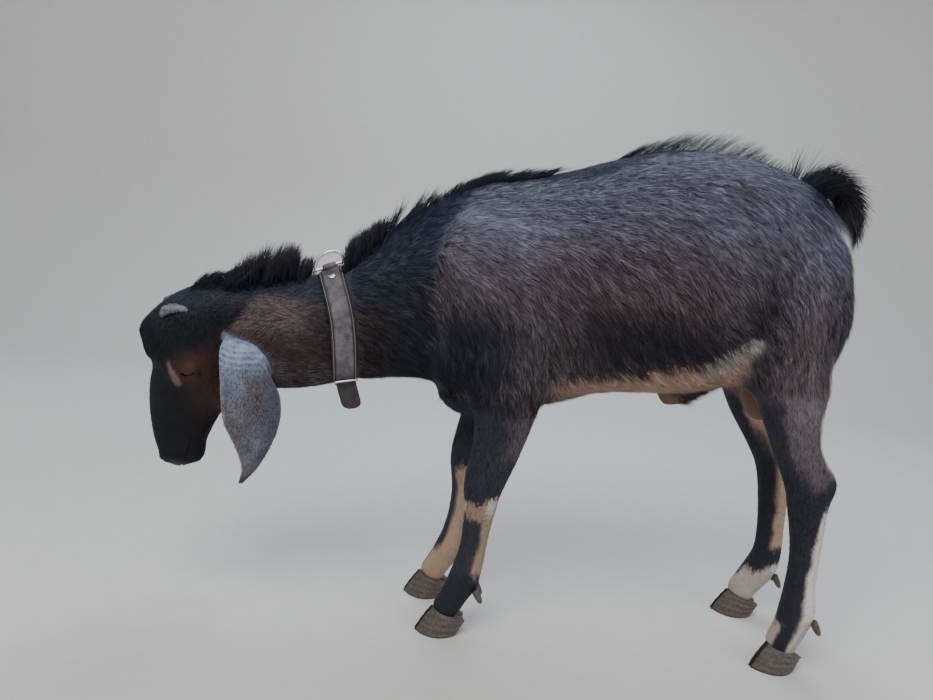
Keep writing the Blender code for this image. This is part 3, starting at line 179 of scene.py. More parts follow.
# Height of the hair's tips above the floor along x
HAIR_TIPS = (
    (-0.298, 0.450), (-0.284, 0.470), (-0.264, 0.487), (-0.244, 0.494), (-0.228, 0.491),
    (-0.214, 0.476), (-0.170, 0.488), (-0.160, 0.506), (-0.150, 0.520), (-0.128, 0.529),
    (-0.104, 0.556), (-0.086, 0.571), (-0.067, 0.583), (-0.051, 0.569), (-0.036, 0.585),
    (-0.016, 0.592), (0.019, 0.610), (0.047, 0.612), (0.092, 0.615), (0.151, 0.636),
    (0.198, 0.660), (0.247, 0.678), (0.299, 0.681), (0.351, 0.670), (0.385, 0.655), (0.410, 0.642),
)

# The collar: the middle of its loop, its tilt from upright and its turn from the midline
COLLAR_CENTRE = Vector((-0.171, -0.027, 0.396))
COLLAR_TILT, COLLAR_TURN = math.radians(11.4), math.radians(12)
BAND_SINK = -0.001
COLLAR_BOW = 0.006      # how far the band lies back from its plane on both sides of the neck
COLLAR_STEPS, COLLAR_FINE = 32, 160
STITCH_RADIUS = 0.00055
STITCH_RISE = ((-1, -0.0007), (-0.55, 0.0003), (0.0, 0.0005), (0.55, 0.0003), (1, -0.0007))
STUD_PROFILE = ((0.0045, 0.0), (0.0046, 0.0005), (0.0042, 0.0010), (0.0034, 0.0014),
                (0.0022, 0.0018), (0.0008, 0.0020))
RING_ANGLE, RIVET_ANGLE, BUCKLE_ANGLE = math.radians(80), math.radians(62), math.radians(-72)
RING_WIDTH, RING_HEIGHT, RING_WIRE = 0.037, 0.018, 0.0018
BUCKLE_SIZE, BUCKLE_WIRE = (0.029, 0.017), 0.0014
END_LENGTH, END_WIDTH, END_THICK = 0.037, 0.025, 0.0028
END_TAPER = ((0.78, 1.0), (0.90, 0.88), (0.97, 0.62), (1.0, 0.34))
GAP = 0.0003
CAMERA_PLACE = Vector((0, -0.928, 0.50))
CAMERA_TILT, CAMERA_ROLL = math.radians(82), math.radians(5.3)

# Legs from inside the body to the pastern: x, z, half width, towards the front, towards the back
NEAR_FORE = (
    (0.040, 0.420, 0.030, 0.050, 0.050),
    (0.046, 0.370, 0.036, 0.054, 0.056),
    (0.052, 0.320, 0.036, 0.044, 0.050),
    (0.053, 0.285, 0.031, 0.037, 0.040),
    (0.048, 0.250, 0.026, 0.033, 0.034),
    (0.040, 0.218, 0.024, 0.030, 0.031),
    (0.036, 0.197, 0.023, 0.027, 0.028),
    (0.037, 0.176, 0.020, 0.024, 0.024),
    (0.035, 0.150, 0.018, 0.022, 0.021),
    (0.032, 0.120, 0.018, 0.020, 0.021),
    (0.027, 0.092, 0.020, 0.022, 0.023),
    (0.023, 0.074, 0.021, 0.023, 0.024),
    (0.012, 0.050, 0.019, 0.021, 0.021),
    (-0.001, 0.024, 0.019, 0.022, 0.022),
)
FAR_FORE = (
    (0.036, 0.420, 0.030, 0.050, 0.050),
    (0.040, 0.370, 0.036, 0.054, 0.056),
    (0.040, 0.320, 0.036, 0.044, 0.050),
    (0.036, 0.285, 0.031, 0.037, 0.040),
    (0.027, 0.250, 0.026, 0.033, 0.034),
    (0.019, 0.220, 0.024, 0.031, 0.031),
    (0.016, 0.197, 0.023, 0.027, 0.028),
    (0.017, 0.176, 0.020, 0.024, 0.024),
    (0.016, 0.150, 0.018, 0.022, 0.021),
    (0.011, 0.120, 0.018, 0.020, 0.021),
    (0.007, 0.092, 0.020, 0.022, 0.023),
    (0.001, 0.074, 0.021, 0.023, 0.024),
    (-0.012, 0.050, 0.019, 0.021, 0.021),
    (-0.026, 0.024, 0.019, 0.022, 0.022),
)
NEAR_HIND = (
    (0.392, 0.520, 0.030, 0.058, 0.044),
    (0.392, 0.460, 0.043, 0.070, 0.050),
    (0.396, 0.410, 0.045, 0.059, 0.050),
    (0.405, 0.365, 0.041, 0.045, 0.048),
    (0.415, 0.325, 0.034, 0.036, 0.037),
    (0.425, 0.290, 0.028, 0.030, 0.031),
    (0.440, 0.258, 0.025, 0.029, 0.034),
    (0.446, 0.236, 0.024, 0.028, 0.031),
    (0.449, 0.212, 0.022, 0.026, 0.026),
    (0.453, 0.180, 0.019, 0.023, 0.023),
    (0.455, 0.145, 0.018, 0.021, 0.021),
    (0.455, 0.110, 0.019, 0.022, 0.022),
    (0.456, 0.080, 0.022, 0.025, 0.026),
    (0.449, 0.052, 0.020, 0.023, 0.023),
    (0.438, 0.024, 0.020, 0.023, 0.023),
)
FAR_HIND = (
    (0.392, 0.520, 0.030, 0.058, 0.044),
    (0.392, 0.460, 0.043, 0.070, 0.050),
    (0.398, 0.410, 0.045, 0.059, 0.050),
    (0.409, 0.365, 0.041, 0.047, 0.048),
    (0.420, 0.325, 0.034, 0.038, 0.037),
    (0.436, 0.290, 0.028, 0.031, 0.031),
    (0.456, 0.255, 0.025, 0.029, 0.034),
    (0.466, 0.228, 0.024, 0.028, 0.030),
    (0.469, 0.200, 0.022, 0.025, 0.026),
    (0.472, 0.165, 0.019, 0.023, 0.023),
    (0.474, 0.130, 0.018, 0.022, 0.022),
    (0.475, 0.100, 0.019, 0.023, 0.023),
    (0.468, 0.074, 0.022, 0.026, 0.026),
    (0.452, 0.050, 0.020, 0.023, 0.023),
    (0.438, 0.024, 0.020, 0.023, 0.023),
)
# Each leg: stations, side (-1 left), distance of hoof and of shoulder or hip from the midline, turn
LEGS = {
    "fore_left": (NEAR_FORE, -1, 0.058, 0.062, 0.10),
    "fore_right": (FAR_FORE, 1, 0.042, 0.062, -0.04),
    "hind_left": (NEAR_HIND, -1, 0.072, 0.066, 0.18),
    "hind_right": (FAR_HIND, 1, 0.072, 0.066, -0.10),
}
CORONET, CORONET_SLOPE = 0.031, 0.32
CLAW_LENGTH, CLAW_WIDTH, CLAW_CLEFT = 0.054, 0.0205, 0.0022
DEWCLAW_TAPER = ((0, 0.0062), (0.45, 0.0058), (0.8, 0.0044), (0.95, 0.0028), (1, 0.0008))

# Muscle and bone: centre x, y (for the left), z, three radii, turn about Y in degrees
MASSES = {
    "shoulder": (0.026, -0.058, 0.440, 0.066, 0.042, 0.118, -18),
    "shoulder_point": (-0.014, -0.044, 0.372, 0.040, 0.036, 0.050, -20),
    "upper_arm": (0.046, -0.058, 0.372, 0.052, 0.036, 0.050, -30),
    "brisket": (0.010, -0.012, 0.322, 0.048, 0.034, 0.040, 0),
    "elbow": (0.080, -0.058, 0.345, 0.032, 0.024, 0.046, 20),
    "thigh": (0.397, -0.062, 0.455, 0.072, 0.044, 0.100, 8),
    "stifle": (0.372, -0.064, 0.405, 0.044, 0.032, 0.052, 30),
    "hip": (0.318, -0.052, 0.596, 0.052, 0.032, 0.034, 10),
    "pin_bone": (0.440, -0.034, 0.560, 0.024, 0.021, 0.023, 0),
    "buttock": (0.436, -0.043, 0.498, 0.034, 0.034, 0.076, 0),
    "flank": (0.220, -0.056, 0.440, 0.120, 0.056, 0.094, 0),
}
HOCK_POINTS = {
    "hind_left": (0.468, -0.0735, 0.252, 0.016, 0.013, 0.024, -10),
    "hind_right": (0.486, 0.0730, 0.248, 0.016, 0.013, 0.024, -10),
}

# The lie of the coat on the left side: a place and the way that the hair runs there
LIE = (
    ((-0.300, -0.080, 0.410), (0.80, 0.0, 0.10)),
    ((-0.260, -0.080, 0.360), (0.95, 0.0, -0.30)),
    ((-0.200, -0.060, 0.450), (0.75, 0.2, 0.45)),
    ((-0.200, -0.080, 0.390), (1.0, 0.0, -0.10)),
    ((-0.190, -0.030, 0.320), (1.0, 0.0, -0.10)),
    ((-0.110, -0.050, 0.500), (0.70, 0.3, 0.50)),
    ((-0.100, -0.080, 0.440), (1.0, 0.0, -0.25)),
    ((-0.090, -0.050, 0.350), (0.70, 0.0, -0.60)),
    ((-0.050, -0.010, 0.340), (0.20, 0.0, -1.0)),
    ((-0.040, -0.050, 0.560), (1.0, 0.2, 0.20)),
    ((0.000, -0.060, 0.545), (1.0, 0.0, -0.02)),
    ((0.070, -0.030, 0.590), (1.0, 0.1, -0.02)),
    ((0.030, -0.090, 0.500), (0.95, 0.0, -0.35)),
    ((-0.010, -0.080, 0.450), (0.70, 0.0, -0.75)),
    ((0.030, -0.095, 0.440), (0.55, 0.0, -0.95)),
    ((0.020, -0.090, 0.380), (0.20, 0.0, -1.0)),
    ((0.070, -0.090, 0.350), (0.15, 0.0, -1.0)),
    ((0.100, -0.095, 0.540), (1.0, 0.0, -0.30)),
    ((0.150, -0.060, 0.600), (1.0, 0.0, -0.10)),
    ((0.130, -0.110, 0.470), (0.70, 0.0, -0.75)),
    ((0.120, -0.100, 0.390), (0.40, 0.0, -1.0)),
    ((0.200, -0.110, 0.530), (1.0, 0.0, -0.50)),
    ((0.220, -0.120, 0.450), (0.65, 0.0, -0.85)),
    ((0.220, -0.105, 0.390), (0.50, 0.0, -0.95)),
    ((0.220, -0.060, 0.345), (0.80, 0.4, -0.30)),
    ((0.220, 0.000, 0.335), (1.0, 0.0, 0.0)),
    ((0.260, -0.050, 0.640), (1.0, 0.0, -0.05)),
    ((0.290, -0.100, 0.580), (0.95, 0.0, -0.45)),
    ((0.310, -0.115, 0.500), (0.75, 0.0, -0.85)),
    ((0.320, -0.105, 0.420), (0.80, 0.0, -0.70)),
    ((0.350, -0.040, 0.640), (1.0, 0.0, -0.25)),
    ((0.380, -0.090, 0.570), (0.70, 0.0, -0.90)),
    ((0.390, -0.105, 0.490), (0.35, 0.0, -1.0)),
    ((0.400, -0.105, 0.420), (0.20, 0.0, -1.0)),
    ((0.440, -0.060, 0.590), (0.50, 0.0, -1.0)),
    ((0.470, -0.050, 0.500), (0.05, 0.0, -1.0)),
    ((0.430, -0.090, 0.340), (0.20, 0.0, -1.0)),
    ((0.440, -0.075, 0.230), (0.10, 0.0, -1.0)),
    ((0.455, -0.075, 0.100), (0.00, 0.0, -1.0)),
    ((0.050, -0.065, 0.280), (0.00, 0.0, -1.0)),
    ((0.035, -0.060, 0.180), (0.00, 0.0, -1.0)),
    ((0.010, -0.060, 0.060), (-0.20, 0.0, -1.0)),
)
LIE_BLUR = 0.03
COMB_BATCH = 20000
BODY_ENDS, MIDDLE = (-0.33, 0.49), 0.16      # along x, for the coat's pieces and their unwraps

# Levels of the coat's markings
NAPE_EDGE = ((0.340, -0.020), (0.378, -0.034), (0.437, -0.052), (0.487, -0.042), (0.535, -0.034),
             (0.576, -0.016), (0.600, 0.004))
STRIPE_EDGE = ((-0.040, 0.566), (0.000, 0.585), (0.050, 0.597), (0.080, 0.590), (0.120, 0.598),
               (0.158, 0.612), (0.197, 0.631), (0.240, 0.646), (0.277, 0.654), (0.330, 0.652),
               (0.358, 0.645), (0.400, 0.625))
FACE_EDGE = ((-0.020, -0.044), (0.000, -0.0385), (0.018, -0.031), (0.030, -0.025), (0.045, -0.021),
             (0.062, -0.020), (0.082, -0.060), (0.100, -0.085))
NECK_FRONT = ((0.330, -0.312), (0.3585, -0.308), (0.373, -0.299), (0.394, -0.283), (0.421, -0.264))
BELLY_EDGE = ((0.050, 0.335), (0.113, 0.354), (0.180, 0.364), (0.224, 0.378), (0.284, 0.391),
              (0.322, 0.412), (0.343, 0.420))


def length_property(name, note, value):
    return FloatProperty(name=name, description=note, default=value, min=0.0, unit="LENGTH")


def count_property(name, note, value):
    return IntProperty(name=name, description=note, default=value, min=0)


def colour_property(name, note, value):
    return FloatVectorProperty(name=name, description=note, subtype="COLOR", size=3, min=0, max=1,
                               default=value)


class GoatCoat(bpy.types.PropertyGroup):
    depth: length_property("Coat depth", "How far the skin lies inside the solids", 0.0012)
    body_tufts: count_property("Body tufts", "Tufts on trunk and neck", 170000)
    leg_tufts: count_property("Leg tufts", "Tufts on the four legs", 44000)
    head_tufts: count_property("Head tufts", "Tufts on the head", 40000)
    ear_tufts: count_property("Ear tufts", "Tufts on each ear", 13000)
    length: length_property("Tuft length", "Length of a tuft on the trunk", 0.0175)
    width: length_property("Tuft width", "Width of a tuft at its root", 0.00062)
    lift: FloatProperty(name="Lift", description="Angle between the tufts and the skin",
                        default=math.radians(6.5), unit="ROTATION")
    seed: count_property("Seed", "Start of the random draws", 5)


class GoatHair(bpy.types.PropertyGroup):
    mane: count_property("Mane hairs", "Hairs of nape and neck crest", 5200)
    croup: count_property("Croup hairs", "Fine hairs that stand on the croup", 1500)
    withers: count_property("Withers hairs", "Short tufts on the withers", 1100)
    tail: count_property("Tail hairs", "Hairs of the tail", 2600)
    width: length_property("Hair width", "Width of a long hair at its root", 0.0011)


class GoatColours(bpy.types.PropertyGroup):
    body: colour_property("Body", "Brown-grey of the trunk", (0.052, 0.038, 0.040))
    # Frost: the pale hairs' own colour, with a blue tint that is painted sky sheen.
    frost: colour_property("Frost", "Pale hairs among the dark ones", (0.33, 0.29, 0.32))
    # Black: the dark hair's own colour, with a blue tint that is painted sheen.
    black: colour_property("Black", "Mane, face, chest and leg fronts", (0.0160, 0.0172, 0.0255))
    deep: colour_property("Dark flank", "Dark patch above the belly", (0.022, 0.019, 0.026))
    brown: colour_property("Neck brown", "Hair behind the ear", (0.085, 0.050, 0.040))
    cheek: colour_property("Cheek", "Red-brown of the cheek", (0.070, 0.034, 0.024))
    belly: colour_property("Belly", "Tan-brown of the belly", (0.58, 0.37, 0.275))
    tan: colour_property("Tan", "Bands and inner sides of the legs", (0.38, 0.27, 0.18))
    white: colour_property("White", "Flank fold, rump edge and pasterns", (0.66, 0.61, 0.54))
    ear_pale: colour_property("Ear base", "Pale base of the ear", (0.27, 0.34, 0.47))
    ear_grey: colour_property("Ear", "Roan grey of the ear", (0.15, 0.14, 0.155))
    ear_inner: colour_property("Ear inside", "Bare skin inside the ear", (0.30, 0.19, 0.16))
    skin: colour_property("Bare skin", "Sheath and scrotum", (0.17, 0.095, 0.065))


class GoatCollar(bpy.types.PropertyGroup):
    band_width: length_property("Band width", "Width of the dark lining", 0.031)
    band_thick: length_property("Band thickness", "Thickness of the dark lining", 0.0030)
    strap_width: length_property("Strap width", "Width of the worn strap", 0.022)
    strap_thick: length_property("Strap thickness", "Thickness of the worn strap", 0.0024)
    stitches: count_property("Stitches", "Stitches along each edge", 120)


class GoatStage(bpy.types.PropertyGroup):
    lens: FloatProperty(name="Lens", description="Focal length in millimetres", default=27.01)
    key: FloatProperty(name="Key light", description="Power of the main light in watts", default=52)
    fill: FloatProperty(name="Fill light", description="Power of the fill light in watts",
                        default=16)


SETTINGS = {"goat_coat": GoatCoat, "goat_hair": GoatHair, "goat_colours": GoatColours,
            "goat_collar": GoatCollar, "goat_stage": GoatStage}
MADE = {}


# Small tools

def between(a, b, c, d, t):
    """The Catmull-Rom value from b at t = 0 to c at t = 1."""
    return 0.5 * (2 * b + (c - a) * t + (2 * a - 5 * b + 4 * c - d) * t * t
                  + (3 * b - a - 3 * c + d) * t ** 3)


def catmull(rows, steps):
    """Catmull-Rom rows through the given ones, with steps rows to each stretch."""
    table = np.array(rows, float)
    ends = np.vstack([2 * table[0] - table[1], table, 2 * table[-1] - table[-2]])
    found = []
    for i in range(1, len(ends) - 2):
        found += [between(*ends[i - 1:i + 3], t) for t in np.arange(steps) / steps]
    found.append(table[-1])
    return np.array(found)


def unit(vectors):
    return vectors / np.maximum(np.linalg.norm(vectors, axis=-1, keepdims=True), 1e-9)


def ramp(values, low, high):
    """0 below low and 1 above high, smooth between them. low may be the larger."""
    share = np.clip((values - low) / (high - low), 0, 1)
    return share * share * (3 - 2 * share)


def blob(points, centre, radii, soft=0.35):
    """1 inside an ellipsoid and 0 outside it, smooth across its edge."""
    reach = np.linalg.norm((points - np.array(centre)) / np.array(radii), axis=1)
    return ramp(reach, 1 + soft, 1 - soft)


def from_line(points, start, end):
    """Each point's distance from a line between two places, and its share of the way."""
    start, run = np.array(start), np.array(end) - np.array(start)
    here = points - start
    share = np.clip(here @ run / (run @ run), 0, 1)
    return np.linalg.norm(here - share[:, None] * run, axis=1), share


def blend(tones, colour, mask):
    """The tones, moved towards a colour by the share that the mask gives."""
    return tones + (np.array(colour) - tones) * mask[:, None]


def level(table, x):
    """The table's value at x, in a straight line between its rows."""
    return np.interp(x, [p[0] for p in table], [p[1] for p in table])


def around(count):
    """Evenly spaced angles of one whole turn."""
    return np.arange(count) * 2 * math.pi / count


def signed_power(value, power):
    return math.copysign(abs(value) ** power, value)


def ring_points(centre, side, dorsal, row, count):
    """One section of a loft from its row: half width, up, down, pear and squareness."""
    width, up, down, pear, square = row
    points = []
    for angle in around(count):
        c, s = math.cos(angle), math.sin(angle)
        across = signed_power(c, 2 / square) * width * (1 - pear * s)
        along = signed_power(s, 2 / square) * (up if s > 0 else down)
        points.append(centre + side * across + dorsal * along)
    return points


def bridge_rings(bm, rings, closed=False, cap=True):
    """Skins the rings with quads, and closes the ends or joins the last ring to the first."""
    made = [[bm.verts.new(p) for p in ring] for ring in rings]
    if closed:
        made.append(made[0])
    count = len(made[0])
    for a, b in zip(made, made[1:]):
        for k in range(count):
            bm.faces.new((a[k], a[(k + 1) % count], b[(k + 1) % count], b[k]))
    if cap and not closed:
        bm.faces.new(made[0])
        bm.faces.new(made[-1])
    bmesh.ops.recalc_face_normals(bm, faces=bm.faces)


def loft(bm, rows, count=20, steps=4):
    """A closed form through sections that stand square to the line of their centres."""
    table = catmull(rows, steps)
    centres = [Vector(r[:3]) for r in table]
    rings = []
    for i, row in enumerate(table):
        ahead = centres[min(i + 1, len(table) - 1)] - centres[max(i - 1, 0)]
        ahead.normalize()
        side = (LEFT - ahead * LEFT.dot(ahead)).normalized()
        rings.append(ring_points(centres[i], side, ahead.cross(side), row[3:], count))
    bridge_rings(bm, rings)


def head_frame():
    """Takes head axes (v, w, u as x, y, z) to the goat's frame."""
    axes = Matrix(((-1, 0, 0), (0, -1, 0), (0, 0, -1)))
    tilt = Matrix.Rotation(NOSE_FORWARD, 3, "Y")
    turn = Matrix.Rotation(HEAD_TURN, 3, "Z")
    lean = Matrix.Rotation(HEAD_LEAN, 3, "X")
    return Matrix.Translation(POLL) @ (turn @ tilt @ axes @ lean).to_4x4()


def head_point(u, v, w):
    return head_frame() @ Vector((v, w, u))


def head_direction(u, v, w):
    return (head_frame().to_3x3() @ Vector((v, w, u))).normalized()


def head_coordinates(points):
    """u, v and w of each point."""
    back = np.array(head_frame().inverted())
    local = points @ back[:3, :3].T + back[:3, 3]
    return local[:, 2], local[:, 0], local[:, 1]


def eye_centre(side):
    return head_point(EYE[0], EYE[1], side * EYE[2])


def eye_distance(points):
    """How far each point lies from the middle of the nearer eye."""
    return np.min([np.linalg.norm(points - np.array(eye_centre(side)), axis=1)
                   for side in (1, -1)], axis=0)


def ball(bm, place, radii, segments=20, rings=12):
    bmesh.ops.create_uvsphere(bm, u_segments=segments, v_segments=rings, radius=1,
                              matrix=place @ Matrix.Diagonal((*radii, 1)))


def axes_place(origin, x, y, z):
    place = Matrix((x, y, z)).transposed().to_4x4()
    place.translation = origin
    return place


def shelf():
    """The collection of the pieces that are shown."""
    found = bpy.data.collections.get("goat_looks")
    if not found:
        found = bpy.data.collections.new("goat_looks")
        bpy.context.scene.collection.children.link(found)
    return found


def add_object(name, bm, paint=None, smooth=True):
    mesh = bpy.data.meshes.new(name)
    bm.to_mesh(mesh)
    bm.free()
    obj = bpy.data.objects.new(name, mesh)
    if paint:
        mesh.materials.append(paint)
    mesh.polygons.foreach_set("use_smooth", [smooth] * len(mesh.polygons))
    shelf().objects.link(obj)
    return obj


def ring_object(name, rings, finish):
    bm = bmesh.new()
    bridge_rings(bm, rings)
    return add_object(name, bm, paint(finish))


def forms_of(obj):
    """The object's mesh, to build on. The object is removed."""
    bm = bmesh.new()
    bm.from_mesh(obj.data)
    bpy.data.objects.remove(obj, do_unlink=True)
    return bm


def smooth_verts(bm, verts, rounds):
    for _ in range(rounds):
        bmesh.ops.smooth_vert(bm, verts=verts, factor=0.5, use_axis_x=True, use_axis_y=True,
                              use_axis_z=True)


def apply_modifiers(obj):
    bpy.context.view_layer.update()
    graph = bpy.context.evaluated_depsgraph_get()
    made = bpy.data.meshes.new_from_object(obj.evaluated_get(graph))
    obj.modifiers.clear()
    obj.data = made


def regrain(obj, grain, smoothing):
    """Fuses the object's forms into one closed surface and smooths their joins."""
    remesh = obj.modifiers.new("grain", "REMESH")
    remesh.mode = "VOXEL"
    remesh.voxel_size = grain
    remesh.use_smooth_shade = True
    soften = obj.modifiers.new("soften", "SMOOTH")
    soften.factor = 0.5
    soften.iterations = smoothing
    apply_modifiers(obj)


def combine(obj, other, operation):
    """Applies one Boolean of obj with another object, which is then removed."""
    step = obj.modifiers.new(operation, "BOOLEAN")
    step.operation = operation
    step.solver = "MANIFOLD"
    step.object = other
    apply_modifiers(obj)
    bpy.data.objects.remove(other, do_unlink=True)


def shift_from_solids():
    """What takes the shapes' own frame to the solids' frame, read off the round eye."""
    low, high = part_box("eye_left")
    return (low + high) / 2 - head_point(*EYE)


def settle(obj, *nodes, slot=None):
    """Moves the piece into the solids' frame, fixes it to the body and hides the solids' parts that
    it stands for. The slot is not used.
    """
    obj.data.transform(Matrix.Translation(shift_from_solids()))
    obj.data.update()
    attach(obj, "root")
    if nodes:
        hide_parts(*nodes)
    return obj


def array_of(items, name, width=3):
    """One property of all the items, as rows of the given width."""
    values = np.empty(len(items) * width, np.float32)
    items.foreach_get(name, values)
    return values.reshape(-1, width).astype(float)


def places_of(mesh):
    return array_of(mesh.vertices, "co")


def normals_of(mesh):
    return array_of(mesh.vertex_normals, "vector")


def set_colours(mesh, colours):
    layer = mesh.attributes.get("hue") or mesh.attributes.new("hue", "FLOAT_COLOR", "POINT")
    flat = np.ones((len(colours), 4), np.float32)
    flat[:, :3] = colours
    layer.data.foreach_set("color", flat.ravel())


def batch(name, points, faces, colours, patch_centres, patch, paint):
    """One mesh of many like solids: points (n, k, 3), the faces of one, colours (n, k, 3).

    Each solid has its own small patch round its place on the unwrap.
    """
    count, corners = points.shape[:2]
    faces = np.array(faces, np.int64)
    mesh = bpy.data.meshes.new(name)
    mesh.vertices.add(count * corners)
    mesh.vertices.foreach_set("co", points.astype(np.float32).ravel())
    index = (np.arange(count)[:, None, None] * corners + faces[None]).ravel()
    mesh.loops.add(len(index))
    mesh.loops.foreach_set("vertex_index", index.astype(np.int32))
    mesh.polygons.add(len(index) // 3)
    mesh.polygons.foreach_set("loop_start", np.arange(0, len(index), 3, dtype=np.int32))
    mesh.polygons.foreach_set("use_smooth", np.ones(len(index) // 3, bool))
    mesh.update(calc_edges=True)
    set_colours(mesh, colours.reshape(-1, 3))
    spots = np.clip(patch_centres, 0.003, 0.997)[:, None, :] + np.array(patch)[None]
    layer = mesh.uv_layers.new(name="OFBake")
    layer.data.foreach_set("uv", spots.reshape(-1, 2)[index].astype(np.float32).ravel())
    mesh.materials.append(paint)
    obj = bpy.data.objects.new(name, mesh)
    shelf().objects.link(obj)
    return obj


# Materials

class Signal:
    """A node's output. Numbers and other outputs combine with it through Math nodes."""

    def __init__(self, tree, socket):
        self.tree, self.socket = tree, socket

    def maths(self, operation, first, second=0.0):
        return node(self.tree, "ShaderNodeMath", {"operation": operation}, {0: first, 1: second})

    def __add__(self, other):
        return self.maths("ADD", self, other)

    def __sub__(self, other):
        return self.maths("SUBTRACT", self, other)

    def __rsub__(self, other):
        return self.maths("SUBTRACT", other, self)

    def __mul__(self, other):
        return self.maths("MULTIPLY", self, other)

    def __pow__(self, other):
        return self.maths("POWER", self, other)

    __radd__, __rmul__ = __add__, __mul__


def node(tree, kind, settings=None, sockets=None, out=0):
    """Adds a node: its settings first, then the values or links of its sockets."""
    made = tree.nodes.new(kind)
    for key, value in (settings or {}).items():
        if key == "stops":
            while len(made.color_ramp.elements) < len(value):
                made.color_ramp.elements.new(0.5)
            for stop, (place, colour) in zip(made.color_ramp.elements, value):
                stop.position, stop.color = place, (*colour, 1.0)
        else:
            setattr(made, key, value)
    for key, value in (sockets or {}).items():
        if isinstance(value, Signal):
            tree.links.new(value.socket, made.inputs[key])
        else:
            made.inputs[key].default_value = value
    return Signal(tree, made.outputs[out])


def blank(name, **values):
    """A material with its shader's own sockets set: the tree and the shader."""
    made = bpy.data.materials.new(name)
    made.use_nodes = True
    shader = made.node_tree.nodes["Principled BSDF"]
    for key, value in values.items():
        shader.inputs[key.replace("_", " ")].default_value = value
    return made, made.node_tree, shader


def feed(tree, shader, **signals):
    for key, signal in signals.items():
        tree.links.new(signal.socket, shader.inputs[key.replace("_", " ")])


def place_signal(tree):
    return node(tree, "ShaderNodeTexCoord", out="Object")


def noise(tree, scale, detail=3.0, rough=0.55, stretch=(1, 1, 1), where=None):
    spot = node(tree, "ShaderNodeMapping", {}, {"Vector": where or place_signal(tree),
                                                "Scale": stretch})
    return node(tree, "ShaderNodeTexNoise", {}, {"Vector": spot, "Scale": scale, "Detail": detail,
                                                 "Roughness": rough})


def mixed(tree, share, first, second, mode="MIX"):
    return node(tree, "ShaderNodeMix", {"data_type": "RGBA", "blend_type": mode},
                {0: share, 6: first, 7: second}, out=2)


def bump(tree, height, strength, distance):
    return node(tree, "ShaderNodeBump", {}, {"Height": height, "Strength": strength,
                                             "Distance": distance})


def hue(tree):
    return node(tree, "ShaderNodeAttribute", {"attribute_name": "hue"}, out="Color")


def shaded(tree, shade):
    """The markings, made lighter or darker."""
    grey = node(tree, "ShaderNodeCombineColor", {}, {"Red": shade, "Green": shade, "Blue": shade})
    return mixed(tree, 1.0, hue(tree), grey, "MULTIPLY")


def skin_material():
    """The short under-coat and bare skin: the markings, darker between hairs, finely pitted."""
    made, tree, shader = blank("goat_skin", Roughness=0.7, Specular_IOR_Level=0.3)
    grain = noise(tree, 420, 4)
    feed(tree, shader, Base_Color=shaded(tree, 0.62 + grain * 0.55), Roughness=0.55 + grain * 0.3,
         Normal=bump(tree, grain, 0.5, 0.0006))
    return made


def hair_material(name, rough, specular, tint=(1, 1, 1)):
    """Hair tufts: the markings with a slow change of tone, and a soft gloss."""
    made, tree, shader = blank(name, Specular_IOR_Level=specular, Specular_Tint=(*tint, 1))
    feed(tree, shader, Base_Color=shaded(tree, 0.78 + noise(tree, 26, 3) * 0.44),
         Roughness=rough + noise(tree, 600, 2) * 0.12)
    return made


def eye_material():
    made, tree, shader = blank("goat_eye", Roughness=0.08, Coat_Weight=0.6, Coat_Roughness=0.03)
    veins = noise(tree, 900, 3)
    feed(tree, shader, Base_Color=mixed(tree, veins * 0.5, hue(tree), (0.02, 0.01, 0.006, 1)),
         Normal=bump(tree, veins, 0.05, 0.0002))
    return made


def horn_material(name, low, high, ring_scale, rough):
    """Horn: fine rings round it and fine flecks, worn pale in places."""
    made, tree, shader = blank(name)
    where = place_signal(tree)
    rings = node(tree, "ShaderNodeTexWave", {"bands_direction": "Z"}, {
        "Vector": where, "Scale": ring_scale, "Distortion": 3.0, "Detail": 3.0,
        "Detail Scale": 2.0}, out="Fac")
    flecks = noise(tree, 380, 4, where=where)
    worn = node(tree, "ShaderNodeValToRGB", {"stops": ((0.25, low), (0.75, high))},
                {"Fac": rings * 0.12 + flecks * 0.88})
    feed(tree, shader, Base_Color=worn, Roughness=rough + flecks * 0.25,
         Normal=bump(tree, rings * 0.4 + flecks * 0.6, 0.45, 0.0005))
    return made


def leather_material(name, dark, light, rough):
    """Leather: pebbled grain, fine scratches and rubbed, paler patches."""
    made, tree, shader = blank(name, Specular_IOR_Level=0.4)
    where = place_signal(tree)
    pebbles = node(tree, "ShaderNodeTexVoronoi", {"feature": "F1"},
                   {"Vector": where, "Scale": 900.0})
    rubbed = noise(tree, 55, 4, 0.65, where=where)
    scratches = noise(tree, 320, 5, 0.7, (1, 1, 9), where)
    worn = node(tree, "ShaderNodeValToRGB", {"stops": ((0.38, dark), (0.68, light))},
                {"Fac": rubbed * 0.6 + scratches * 0.4})
    height = pebbles * 0.5 + scratches * 0.6
    feed(tree, shader, Base_Color=worn, Roughness=rough + rubbed * 0.25,
         Normal=bump(tree, height, 0.55, 0.0005))
    return made


def steel_material():
    made, tree, shader = blank("collar_steel", Base_Color=(0.74, 0.74, 0.76, 1), Metallic=1.0)
    smears = noise(tree, 160, 4)
    feed(tree, shader, Roughness=0.14 + smears * 0.3,
         Normal=bump(tree, noise(tree, 900, 3), 0.08, 0.0002))
    return made


def thread_material():
    made, tree, shader = blank("collar_thread")
    twist = node(tree, "ShaderNodeTexWave", {}, {"Vector": place_signal(tree), "Scale": 700.0},
                 out="Fac")
    tone = mixed(tree, twist, (0.20, 0.17, 0.145, 1), (0.34, 0.30, 0.26, 1))
    feed(tree, shader, Base_Color=tone, Roughness=0.75 + twist * 0.1,
         Normal=bump(tree, twist, 0.4, 0.0003))
    return made


